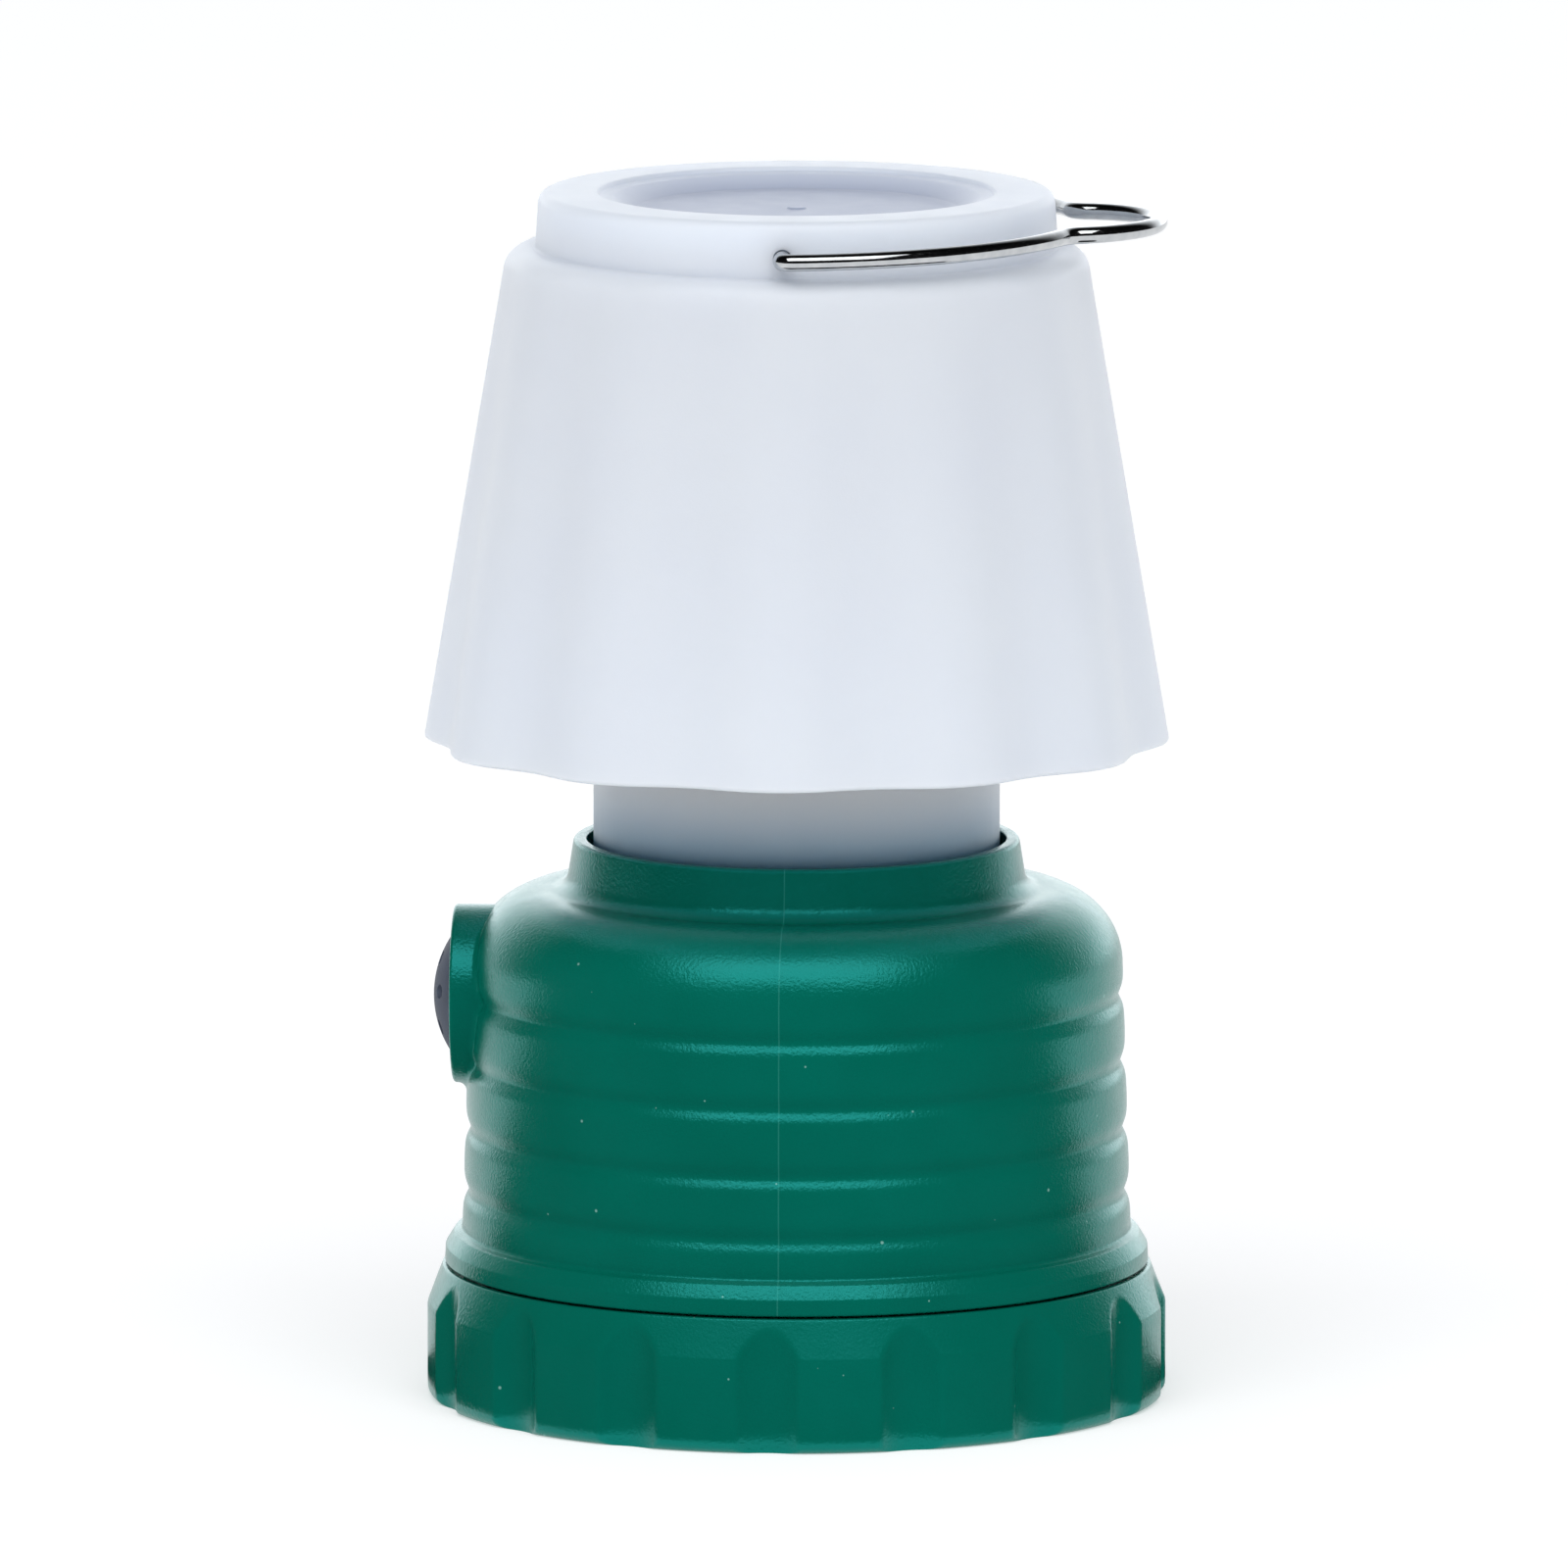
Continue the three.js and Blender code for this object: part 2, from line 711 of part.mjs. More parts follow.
addPiece(lightGroup, 'led_reflector', ledReflector(), WHITE_PLASTIC);
addPiece(lightGroup, 'diffuser_tube', diffuserTube(), COLUMN_PLASTIC);
addPiece(lightGroup, 'cone_reflector', coneReflector(), REFLECTOR_SILVER);

// The two leads climb from the switch board through the sleeve's slot.
function leadWire(side) {
  const y = (side * LEADS.spacing) / 2;
  const boardBack = SWITCH.boardFace - SWITCH.boardThickness - GAP;
  const slotX = -(SLEEVE.bore + SLEEVE.radius) / 2;
  const path = roundedPath([
    { at: new THREE.Vector3(-boardBack, y, LEADS.level) },
    { at: new THREE.Vector3(slotX, y, LEADS.level), radius: LEADS.bend },
    { at: new THREE.Vector3(slotX, y, LED_BOARD.low - GAP) },
  ]);
  return swept(path, LEADS.diameter, 8, 10);
}
addPiece(lightGroup, 'lead_wire_red', leadWire(1), LEAD_RED);
addPiece(lightGroup, 'lead_wire_black', leadWire(-1), LEAD_BLACK);

// ---------------------------------------------------------------------------
// Battery carrier with three cells in series
// ---------------------------------------------------------------------------

const CELL_ANGLES = [90, 210, 330];
const RIB_OFFSET = 60; // a rib stands between each cell and the next
const cellSpot = (geometry, index) => placeOnCircle(geometry, CELL.circle, CELL_ANGLES[index]);
const byRib = (geometry, index) => geometry.rotateZ(radians(CELL_ANGLES[index] + RIB_OFFSET));

const LOWER_PLATES = [CARRIER.platesLow, CARRIER.platesLow + CARRIER.plateThickness];
const UPPER_PLATES = [CARRIER.platesHigh - CARRIER.plateThickness, CARRIER.platesHigh];
const TOP_CONTACTS = [CARRIER.high + GAP, CARRIER.high + GAP + CARRIER.plateThickness];
const CONTACT_RING = { inner: 9.5, outer: 12.4 };
const NIPPLE = { radius: 2.5, high: CARRIER.high + 1.3, stemRadius: 1.2, stemCircle: 6.5 };
const STRAP = { x: [15, 15.4], y: [-5, -2] }; // riser of the negative contact, beside its rib

function cellCarrier() {
  const c = CARRIER;
  const upperDiscLow = c.high - c.discThickness;
  const ribs = CELL_ANGLES.map((_, i) =>
    byRib(block([0, -c.ribThickness / 2, c.low], [c.ribReach, c.ribThickness / 2, c.high]), i));
  const whole = joined(
    rod(c.radius, c.low, c.low + c.discThickness, 32),
    rod(c.radius, upperDiscLow, c.high, 32),
    rod(c.coreRadius, c.low, c.high, 12),
    ...ribs,
  );
  const strapNotch = block([STRAP.x[0] - 0.5, STRAP.y[0] - 0.5, upperDiscLow - 0.5],
    [c.radius + 1, STRAP.y[1] + 0.5, c.high + 1]);
  const nippleHole = placeOnCircle(
    rod(NIPPLE.stemRadius + GAP, upperDiscLow - 0.5, c.high + 1, 12), NIPPLE.stemCircle, CELL_ANGLES[2]);
  const linkWindow = ([low, high]) => block([2.9, -1, low - GAP], [6.7, 1, high + GAP]);
  return cut(whole, byRib(strapNotch, 0), nippleHole,
    byRib(linkWindow(UPPER_PLATES), 0), byRib(linkWindow(LOWER_PLATES), 1));
}

// One cell standing on its negative end at level 0.
function cell() {
  const c = CELL;
  const shoulder = c.length - c.nubHeight;
  return turned([
    v2(0, 0),
    v2(c.radius - 0.6, 0),
    v2(c.radius, 0.5),
    v2(c.radius, shoulder - 0.8),
    v2(c.radius - 0.8, shoulder),
    v2(c.nubRadius, shoulder),
    v2(c.nubRadius, c.length),
    v2(0, c.length),
  ], SEGMENTS.small);
}

const contactPad = ([low, high], index) => cellSpot(rod(4, low, high), index);

// A strip of sheet metal that joins the ends of two neighbouring cells.
function linkPlate(first, [low, high]) {
  const reach = CELL.circle * Math.sin(radians(RIB_OFFSET));
  const distance = CELL.circle * Math.cos(radians(RIB_OFFSET));
  const strip = block([distance - 1.6, -reach, low], [distance + 1.6, reach, high]);
  return joined(byRib(strip, first), contactPad([low, high], first), contactPad([low, high], first + 1));
}

// Negative side: the pad under the first cell, a riser beside the rib and the top ring.
function negativeContact() {
  const [low, padHigh] = LOWER_PLATES;
  const [ringLow, ringHigh] = TOP_CONTACTS;
  const [x0, x1] = STRAP.x;
  const [y0, y1] = STRAP.y;
  const padX = CELL.circle * Math.cos(radians(RIB_OFFSET));
  const lowerArm = block([padX, y0 - 1.5, low], [x1, y1, padHigh]);
  const riser = block([x0, y0, low], [x1, y1, ringHigh]);
  const upperArm = block([CONTACT_RING.outer - 2, y0, ringLow], [x1, y1, ringHigh]);
  return joined(
    tube(CONTACT_RING.inner, CONTACT_RING.outer, ringLow, ringHigh, 24),
    contactPad(LOWER_PLATES, 0),
    ...[lowerArm, riser, upperArm].map((part) => byRib(part, 0)),
  );
}

// Positive side: the pad over the third cell, a stem through the disc and the centre nipple.
function positiveContact() {
  const [low, high] = TOP_CONTACTS;
  const angle = CELL_ANGLES[2];
  return joined(
    rod(NIPPLE.radius, low, NIPPLE.high),
    block([0, -1.4, low], [NIPPLE.stemCircle + 1.2, 1.4, high]).rotateZ(radians(angle)),
    placeOnCircle(rod(NIPPLE.stemRadius, UPPER_PLATES[0], high, 12), NIPPLE.stemCircle, angle),
    contactPad(UPPER_PLATES, 2),
  );
}

const carrierGroup = addGroup(bodyGroup);
addPiece(carrierGroup, 'cell_carrier', cellCarrier(), BLACK_PLASTIC);
addPiece(carrierGroup, 'negative_contact', negativeContact(), NICKEL);
addPiece(carrierGroup, 'positive_contact', positiveContact(), NICKEL);
addPiece(carrierGroup, 'upper_link', linkPlate(0, UPPER_PLATES), NICKEL);
addPiece(carrierGroup, 'lower_link', linkPlate(1, LOWER_PLATES), NICKEL);

// The middle cell stands head down, so its spring is at the top.
CELL_ANGLES.forEach((_, i) => {
  const headDown = i === 1;
  const springLow = headDown ? UPPER_PLATES[0] - GAP - CARRIER.springHeight : LOWER_PLATES[1] + GAP;
  const body = headDown
    ? cell().rotateX(Math.PI).translate(0, 0, springLow - GAP)
    : cell().translate(0, 0, springLow + CARRIER.springHeight + GAP);
  addPiece(carrierGroup, `cell_${i + 1}`, cellSpot(body, i), CELL_JACKET);
  const spring = coilSpring({
    low: springLow,
    high: springLow + CARRIER.springHeight,
    radiusLow: 4.4,
    radiusHigh: 2.6,
    wire: 0.6,
    turns: 2,
  });
  addPiece(carrierGroup, `cell_spring_${i + 1}`, cellSpot(spring, i), NICKEL);
});

// Springs under the light board press on the carrier's nipple and ring.
const CONTACT_SPRINGS = [
  { name: 'centre_contact_spring', circle: 0, low: NIPPLE.high + GAP },
  { name: 'ring_contact_spring', circle: 10.95, low: TOP_CONTACTS[1] + GAP },
];
CONTACT_SPRINGS.forEach(({ name, circle, low }) => {
  const spring = coilSpring({
    low, high: LED_BOARD.low - GAP, radiusLow: 1.1, radiusHigh: 1.7, wire: 0.5, turns: 2.5,
  });
  addPiece(lightGroup, name, placeOnCircle(spring, circle, 0), NICKEL);
});

// ---------------------------------------------------------------------------
// Shade
// ---------------------------------------------------------------------------

// Pulls the skirt in between its flutes, most at the lower edge and not at the shoulder.
function flute(geometry) {
  const points = geometry.attributes.position;
  for (let i = 0; i < points.count; i += 1) {
    const [x, y, z] = [points.getX(i), points.getY(i), points.getZ(i)];
    const radius = Math.hypot(x, y);
    if (radius < SHADE.capBore || z > SHADE.shoulderLevel) continue;
    const fade = (SHADE.shoulderLevel - z) / (SHADE.shoulderLevel - SHADE.low);
    const wave = (1 - Math.cos(SHADE.flutes * Math.atan2(x, -y))) / 2;
    const scale = 1 - (SHADE.fluteDepth * fade * wave) / radius;
    points.setXYZ(i, x * scale, y * scale, z);
  }
  return geometry;
}

function shade() {
  const s = SHADE;
  const stop = TUBE.high + GAP;
  const fillet = s.shoulderTop - s.shoulderLevel;
  const innerShoulder = s.shoulderTop - s.thickness;
  const shell = turned([
    v2(0, s.ceiling),
    v2(s.stopBore, s.ceiling),
    v2(s.stopBore, stop),
    v2(s.socketBore, stop),
    v2(s.socketBore, s.socketLow),
    v2(s.socketRadius, s.socketLow),
    v2(s.socketRadius, s.ceiling),
    v2(s.capBore, s.ceiling),
    v2(s.capBore, innerShoulder),
    v2(s.shoulderRadius - s.thickness - 0.8, innerShoulder),
    v2(s.shoulderRadius - s.thickness, innerShoulder - 1),
    v2(s.crestRadius - s.thickness, s.low),
    v2(s.crestRadius, s.low),
    ...arc(s.shoulderRadius - fillet, s.shoulderLevel, fillet, 0, 90, 3),
    v2(s.capRadiusLow, s.shoulderTop),
    v2(s.capRadiusHigh, s.top - 0.8),
    v2(s.capRadiusHigh - 0.7, s.top),
    v2(s.stepRadius, s.top),
    v2(s.stepRadius - 0.3, s.top - 0.4),
    v2(s.dishRadius, s.top - 0.5),
    v2(s.dishFloorRadius, s.dishFloor),
    v2(0, s.dishFloor),
  ], SEGMENTS.shade);
  const pivotHole = rod(BAIL.holeRadius, -s.capRadiusLow - 2, s.capRadiusLow + 2)
    .rotateX(Math.PI / 2).translate(0, 0, BAIL.pivotLevel);
  const inward = solid(pivotHole).subtract(solid(rod(s.socketRadius + 1, s.socketLow, s.top, 24)));
  return solid(flute(shell)).subtract(inward);
}

addPiece(bodyGroup, 'shade', shade(), FROSTED_PLASTIC);

// ---------------------------------------------------------------------------
// Wire bail, folded down over the +X side
// ---------------------------------------------------------------------------

function bail() {
  const b = BAIL;
  const loopCentre = b.loopTip - b.loopRadius;
  const kinkX = (b.armRadius ** 2 - b.loopRadius ** 2 + loopCentre ** 2) / (2 * loopCentre);
  const kinkAngle = Math.asin(kinkX / b.armRadius);
  const loopAngle = Math.acos((kinkX - loopCentre) / b.loopRadius);
  const onCircle = (centre, radius, angle) =>
    ({ at: new THREE.Vector3(centre + radius * Math.cos(angle), radius * Math.sin(angle), 0) });
  const onArm = (share) => onCircle(0, b.armRadius, share * kinkAngle - Math.PI / 2);
  const onLoop = (share) => onCircle(loopCentre, b.loopRadius, -share * loopAngle);
  const half = [
    { at: new THREE.Vector3(0, -b.stubEnd, 0) },
    { ...onArm(0), radius: b.bendRadius },
    ...[0.1, 0.25, 0.4, 0.55, 0.7, 0.85, 0.92].map(onArm),
    { ...onArm(1), radius: b.kinkRadius },
    ...[0.76, 0.6, 0.45, 0.3, 0.15].map(onLoop),
  ];
  const mirrored = half.map(({ at, radius }) => ({ at: new THREE.Vector3(at.x, -at.y, 0), radius }));
  const wire = swept(roundedPath([...half, onLoop(0), ...mirrored.reverse()]), b.wire, 8, 72);
  return wire.rotateY(-radians(b.rise)).translate(0, 0, b.pivotLevel);
}

addPiece(addGroup(), 'bail', bail(), STEEL_WIRE);

export default lantern;
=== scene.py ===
import json
import math

import bmesh
import bpy
import numpy as np
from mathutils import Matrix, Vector


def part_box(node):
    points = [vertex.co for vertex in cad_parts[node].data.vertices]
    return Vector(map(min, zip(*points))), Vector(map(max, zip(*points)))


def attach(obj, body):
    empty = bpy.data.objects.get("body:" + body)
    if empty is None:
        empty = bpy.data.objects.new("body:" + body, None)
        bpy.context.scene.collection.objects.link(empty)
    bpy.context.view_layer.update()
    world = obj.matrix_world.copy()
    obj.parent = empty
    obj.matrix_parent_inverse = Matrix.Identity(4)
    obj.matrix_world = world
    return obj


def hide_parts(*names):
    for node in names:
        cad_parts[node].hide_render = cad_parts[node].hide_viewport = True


# A small camping lantern shaped like a table lamp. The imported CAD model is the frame;
# the visible shells are rebuilt here at full detail, in millimetres, about the Z axis.

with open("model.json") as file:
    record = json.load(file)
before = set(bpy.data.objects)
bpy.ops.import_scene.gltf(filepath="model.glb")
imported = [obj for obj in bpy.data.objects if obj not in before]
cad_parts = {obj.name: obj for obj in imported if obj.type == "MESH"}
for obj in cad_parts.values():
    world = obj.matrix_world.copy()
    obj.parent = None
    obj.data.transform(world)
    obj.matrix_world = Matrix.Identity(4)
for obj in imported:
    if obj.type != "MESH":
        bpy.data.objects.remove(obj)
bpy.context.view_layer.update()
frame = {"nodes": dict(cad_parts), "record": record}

MM = 0.001
TURN = 2 * math.pi
FRONT = -math.pi / 2  # angle about Z of the side that faces the camera


def box_mm(node):
    """The low and high corners of a CAD node's box, in millimetres."""
    low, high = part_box(node)
    return low / MM, high / MM


# ---------------------------------------------------------------------------
# Sizes in millimetres; the levels and outer radii come from the CAD nodes
# ---------------------------------------------------------------------------

CAP_HIGH = box_mm("base_cap")[1]
CAP = {
    "radius": CAP_HIGH.x,
    "height": CAP_HIGH.z + 0.12,  # leaves only a thin dark gap under the housing's flange
    "rim_radius": CAP_HIGH.x - 1.7,
    "rim_fillet": 0.32,
    "chamfer_level": 10.1,
    "mould_line": 0.045,  # depth of the line where the two halves of the mould meet
    "foot_fillet": 1.1,
    "bore_radius": 36.9,
    "floor": 2.0,
    "scallops": 16,
    "scallop_depth": 1.28,
    "scallop_width": 7.2,
    "scallop_turn": math.radians(-1.4),
    "edge_softness": 0.16,
}

THREAD = {
    "starts": 3,
    "lead": 9.0,
    "span": math.radians(150),
    "taper": math.radians(6),
    "depth": 1.05,
    "crest_half": 0.3,
    "root_half": 0.55,
    "housing_level": 6.9,
    "cap_level": 8.4,
}

HOUSING_LOW, HOUSING_HIGH = box_mm("housing")
HOUSING = {
    "low": HOUSING_LOW.z,
    "skirt_radius": 35.5,
    "flange_level": 14.6,
    "flange_radius": HOUSING_HIGH.x,
    "flange_edge": 1.75,
    "flange_height": 3.25,
    "flange_slope": 1.05,
    "wall_radius_low": 36.1,
    "wall_radius_high": 35.2,
    "wall_low": 18.3,
    "wall_high": 47.0,
    "inner_radius": 33.1,
    "shoulder_fillet": 8.1,
    "neck_fillet": 2.0,
    "collar_radius_low": 24.9,
    "collar_radius_high": 24.0,
    "collar_bore": 22.6,
    "top": HOUSING_HIGH.z,
    "throat_radius": 24.4,
    "throat_level": 48.7,
    "ceiling": 53.1,
    "seam_depth": 0.045,
    "seam_fall": 0.0004,  # how far the wall has curved back at the seam's edges
    # width of the painted highlight line down the seam
    "seam_highlight_width": 0.1,
}
GROOVES = {
    "levels": (22.3, 29.1, 36.4, 43.6),
    "depth": 0.6,
    "width_below": 0.9,
    "width_above": 1.15,
    "bulge": 0.16,
}

BUTTON_LOW, BUTTON_HIGH = box_mm("power_button")
BOSS = {
    "level": (BUTTON_LOW.z + BUTTON_HIGH.z) / 2,
    "radius": 9.65,
    "face": 37.0,
    "root": 31.2,
    "fillet": 0.9,
    "edge_fillet": 0.4,
    "opening": 6.75,
    "chamber": 8.15,
    "face_thickness": 1.4,
}
BUTTON = {
    "tip": -BUTTON_LOW.x,
    "edge": -BUTTON_LOW.x - 2.0,
    "radius": 6.45,
    "flange_radius": 7.85,
    "flange_front": 35.3,
    "flange_thickness": 1.2,
    "stem_radius": 1.5,
    "stem_end": -BUTTON_HIGH.x,
    "dimples": 6,
    "dimple_circle": 4.3,
    "dimple_turn": math.radians(-19.3),
    "dimple_radius": 0.74,
    "dimple_edge": 0.2,
    "dimple_depth": 1.2,
}

TUBE_LOW, TUBE_HIGH = box_mm("diffuser_tube")
TUBE = {"radius": 21.9, "bore": 20.4, "flange_radius": TUBE_HIGH.x, "flange_thickness": 1.6}

SHADE_LOW, SHADE_HIGH = box_mm("shade")
SHADE = {
    "flutes": 12,
    "flute_depth": 1.8,
    "flute_depth_top": 0.4,
    "flute_narrowing": 1.15,
    "low": SHADE_LOW.z,
    "crest_radius": SHADE_HIGH.y,
    "shoulder_level": 121.9,
    "shoulder_radius": 31.6,
    "shoulder_top": 124.8,
    "shoulder_fillet": 2.6,
    "thickness": 1.5,
    "cap_radius_low": 28.1,
    "cap_radius_high": 27.7,
    "cap_fillet": 1.15,
    "top": SHADE_HIGH.z,
    "cap_bore": 26.3,
    "step_radius": 21.4,
    "dish_radius": 19.8,
    "dish_floor_radius": 17.4,
    "dish_floor": 128.9,
    "painted_shade_radius": 16,  # painted shade: the dish is coloured greyer inside this, fading out at the next
    "painted_shade_edge": 22,
    "gate_radius": 1.1,  # the mark left by the mould's gate, in the middle of the dish
    "gate_height": 0.2,
    "ceiling": 127.4,
    "socket_radius": 23.7,
    "socket_bore": 22.2,
    "socket_low": 108.0,
    "stop_bore": 18.5,
}

BAIL = {
    "wire": 1.85,
    "pivot_level": 126.95,
    "arm_radius": 31.4,
    "stub_end": 24.8,
    "hole_radius": 1.0,
    "bend_radius": 1.4,
    "kink_radius": 2.8,
    "loop_radius": 10.8,
    "loop_tip": 38.95,
    "rise": math.radians(1),
}


# ---------------------------------------------------------------------------
# Outlines
# ---------------------------------------------------------------------------


def arc(centre, radius, start, end, steps):
    """Points (r, z) on an arc; the angles are in degrees."""
    points = []
    for i in range(steps + 1):
        angle = math.radians(start + (end - start) * i / steps)
        points.append((centre[0] + radius * math.cos(angle), centre[1] + radius * math.sin(angle)))
    return points


def fillet(before, corner, after, radius, steps=6):
    """The arc that rounds one corner of an outline, or the corner itself if its radius is 0."""
    corner, before, after = Vector(corner), Vector(before), Vector(after)
    if radius == 0:
        return [tuple(corner)]
    back = (before - corner).normalized()
    ahead = (after - corner).normalized()
    half = back.angle(ahead) / 2
    centre = corner + (back + ahead).normalized() * (radius / math.sin(half))
    start = corner + back * (radius / math.tan(half)) - centre
    end = corner + ahead * (radius / math.tan(half)) - centre
    sweep = start.angle_signed(end)
    points = []
    for i in range(steps + 1):
        turn = -sweep * i / steps
        x = start.x * math.cos(turn) - start.y * math.sin(turn)
        y = start.x * math.sin(turn) + start.y * math.cos(turn)
        points.append((centre.x + x, centre.y + y))
    return points


def rounded(corners, steps=6):
    """An open outline from corners (r, z) or (r, z, fillet radius)."""
    spots = [corner[:2] for corner in corners]
    radii = [corner[2] if len(corner) > 2 else 0 for corner in corners]
    outline = [spots[0]]
    for i in range(1, len(corners) - 1):
        outline += fillet(spots[i - 1], spots[i], spots[i + 1], radii[i], steps)
    return outline + [spots[-1]]


def sampled(low, high, spacing):
    """Levels from low to high, evenly spaced."""
    return np.linspace(low, high, max(2, round(abs(high - low) / spacing) + 1))


def on_line(start, end, shares):
    """Points (r, z) on the line from start to end."""
    return [(start[0] + (end[0] - start[0]) * share, start[1] + (end[1] - start[1]) * share)
            for share in shares]


# ---------------------------------------------------------------------------
# Meshes
# ---------------------------------------------------------------------------


def skin(rings, loop):
    """Points and faces over a row of rings. A ring of one point closes the skin there."""
    starts = np.cumsum([0] + [len(ring) for ring in rings])
    pairs = [(i, i + 1) for i in range(len(rings) - 1)]
    if loop:
        pairs.append((len(rings) - 1, 0))
    faces = []
    for first, second in pairs:
        a, b = int(starts[first]), int(starts[second])
        count = max(len(rings[first]), len(rings[second]))
        for k in range(count):
            n = (k + 1) % count
            if len(rings[first]) == 1:
                faces.append((a, b + n, b + k))
            elif len(rings[second]) == 1:
                faces.append((a + k, a + n, b))
            else:
                faces.append((a + k, a + n, b + n, b + k))
    return np.concatenate(rings), faces


def shade_by_angle(mesh, degrees):
    """Smooth shading, with sharp edges where faces meet at more than the angle."""
    mesh.shade_smooth()
    mesh.set_sharp_from_angle(angle=math.radians(degrees))


def mesh_object(name, rings, material=None, loop=False, sharp=38):
    """A closed mesh over rings of points in millimetres."""
    points, faces = skin(rings, loop)
    mesh = bpy.data.meshes.new(name)
    mesh.from_pydata((points * MM).tolist(), [], faces)
    tidy = bmesh.new()
    tidy.from_mesh(mesh)
    bmesh.ops.recalc_face_normals(tidy, faces=tidy.faces)
    tidy.to_mesh(mesh)
    tidy.free()
    shade_by_angle(mesh, sharp)
    if material:
        mesh.materials.append(material)
    piece = bpy.data.objects.new(name, mesh)
    bpy.context.scene.collection.objects.link(piece)
    return piece


def pole(level):
    """A ring of one point on the Z axis."""
    return np.array([[0.0, 0.0, level]])


def ring(radius, angles, level):
    """A ring about Z; the radius and the level are numbers, or one number for each angle."""
    levels = np.zeros(len(angles)) + level
    return np.stack([radius * np.cos(angles), radius * np.sin(angles), levels], axis=1)


def turned_rings(profile, angles, reshape=None):
    """Rings about Z from a profile of (r, z); reshape(angles, r, z) may change a ring's radii."""
    rings = []
    for radius, level in profile:
        if radius == 0:
            rings.append(pole(level))
            continue
        radii = np.full(len(angles), float(radius))
        if reshape:
            radii = reshape(angles, radii, level)
        rings.append(ring(radii, angles, level))
    return rings


def even_angles(segments):
    """Angles all the way round, evenly spaced."""
    return np.arange(segments) * TURN / segments


def toward_button(rings, level):
    """Turns rings made about Z so that +Z points along -X at the given level."""
    return [np.stack([-points[:, 2], points[:, 1], points[:, 0] + level], axis=1)
            for points in rings]


def boolean(piece, tool, operation):
    """Joins the tool to the piece or cuts it out, and removes the tool."""
    modifier = piece.modifiers.new("cut", "BOOLEAN")
    modifier.operation = operation
    modifier.solver = "MANIFOLD"
    modifier.object = tool
    graph = bpy.context.evaluated_depsgraph_get()
    result = bpy.data.meshes.new_from_object(piece.evaluated_get(graph))
    piece.modifiers.clear()
    piece.data = result
    bpy.data.objects.remove(tool)


# ---------------------------------------------------------------------------
# Material nodes
# ---------------------------------------------------------------------------


class Shader:
    """A Principled material with helpers for procedural detail in object space."""

    def __init__(self, name, **values):
        self.material = bpy.data.materials.new(name)
        self.material.use_nodes = True
        self.tree = self.material.node_tree
        self.main = self.tree.nodes["Principled BSDF"]
        for socket, value in values.items():
            self.main.inputs[socket.replace("_", " ")].default_value = value
        self.place = self.tree.nodes.new("ShaderNodeTexCoord").outputs["Object"]

    def node(self, kind, inputs=(), **settings):
        node = self.tree.nodes.new(kind)
        for key, value in settings.items():
            setattr(node, key, value)
        for key, value in dict(inputs).items():
            if isinstance(value, bpy.types.NodeSocket):
                self.tree.links.new(value, node.inputs[key])
            else:
                node.inputs[key].default_value = value
        return node

    def link(self, output, socket):
        """Joins an output to a socket of the material itself."""
        self.tree.links.new(output, self.main.inputs[socket])

    def noise(self, size, detail=2.0, roughness=0.5, place=None):
        """Noise whose features are about size millimetres across."""
        inputs = {"Vector": place or self.place, "Scale": 1 / (size * MM),
                  "Detail": detail, "Roughness": roughness}
        return self.node("ShaderNodeTexNoise", inputs).outputs["Fac"]

    def stretched(self, scale):
        """Object coordinates scaled by a factor on each axis."""
        inputs = {"Vector": self.place, "Scale": scale}
        return self.node("ShaderNodeMapping", inputs).outputs["Vector"]

    def mapped(self, value, low, high, new_low, new_high):
        inputs = {"Value": value, "From Min": low, "From Max": high,
                  "To Min": new_low, "To Max": new_high}
        return self.node("ShaderNodeMapRange", inputs).outputs["Result"]

    def drift(self, noise, low, high):
        """A number that wanders between two with a noise."""
        return self.mapped(noise, 0.3, 0.7, low, high)

    def clouded(self, noise, first, second):
        """A colour that wanders between two with a noise."""
        return self.mixed(self.drift(noise, 0, 1), first, second)

    def maths(self, operation, first, second):
        return self.node("ShaderNodeMath", {0: first, 1: second}, operation=operation).outputs[0]

    def mixed(self, factor, first, second):
        """Mixes two colours by a factor."""
        inputs = {0: factor, 6: first, 7: second}
        return self.node("ShaderNodeMix", inputs, data_type="RGBA").outputs[2]

    def specks(self, size, spacing, share):
        """1 inside small round specks, 0 elsewhere; share is the part of the cells with one."""
        inputs = {"Vector": self.place, "Scale": 1 / (spacing * MM), "Randomness": 1.0}
        cells = self.node("ShaderNodeTexVoronoi", inputs)
        draw = self.node("ShaderNodeSeparateColor", {"Color": cells.outputs["Color"]}).outputs[0]
        chosen = self.maths("LESS_THAN", draw, share)
        width = size / spacing
        close = self.mapped(cells.outputs["Distance"], 0.5 * width, 0.3 * width, 0, 1)
        return self.maths("MULTIPLY", chosen, close)

    def axis(self, name):
        """One object coordinate, in metres."""
        return self.node("ShaderNodeSeparateXYZ", {"Vector": self.place}).outputs[name]

    def bump(self, height, depth, normal=None):
        """A bump of the given depth in millimetres from a height of 0 to 1."""
        inputs = {"Height": height, "Distance": depth * MM, "Strength": 1.0}
        if normal:
            inputs["Normal"] = normal
        return self.node("ShaderNodeBump", inputs).outputs["Normal"]


def rgb(red, green, blue):
    """A linear colour from 8-bit sRGB values."""
    linear = []
    for value in (red, green, blue):
        share = value / 255
        linear.append(share / 12.92 if share <= 0.04045 else ((share + 0.055) / 1.055) ** 2.4)
    return (*linear, 1.0)


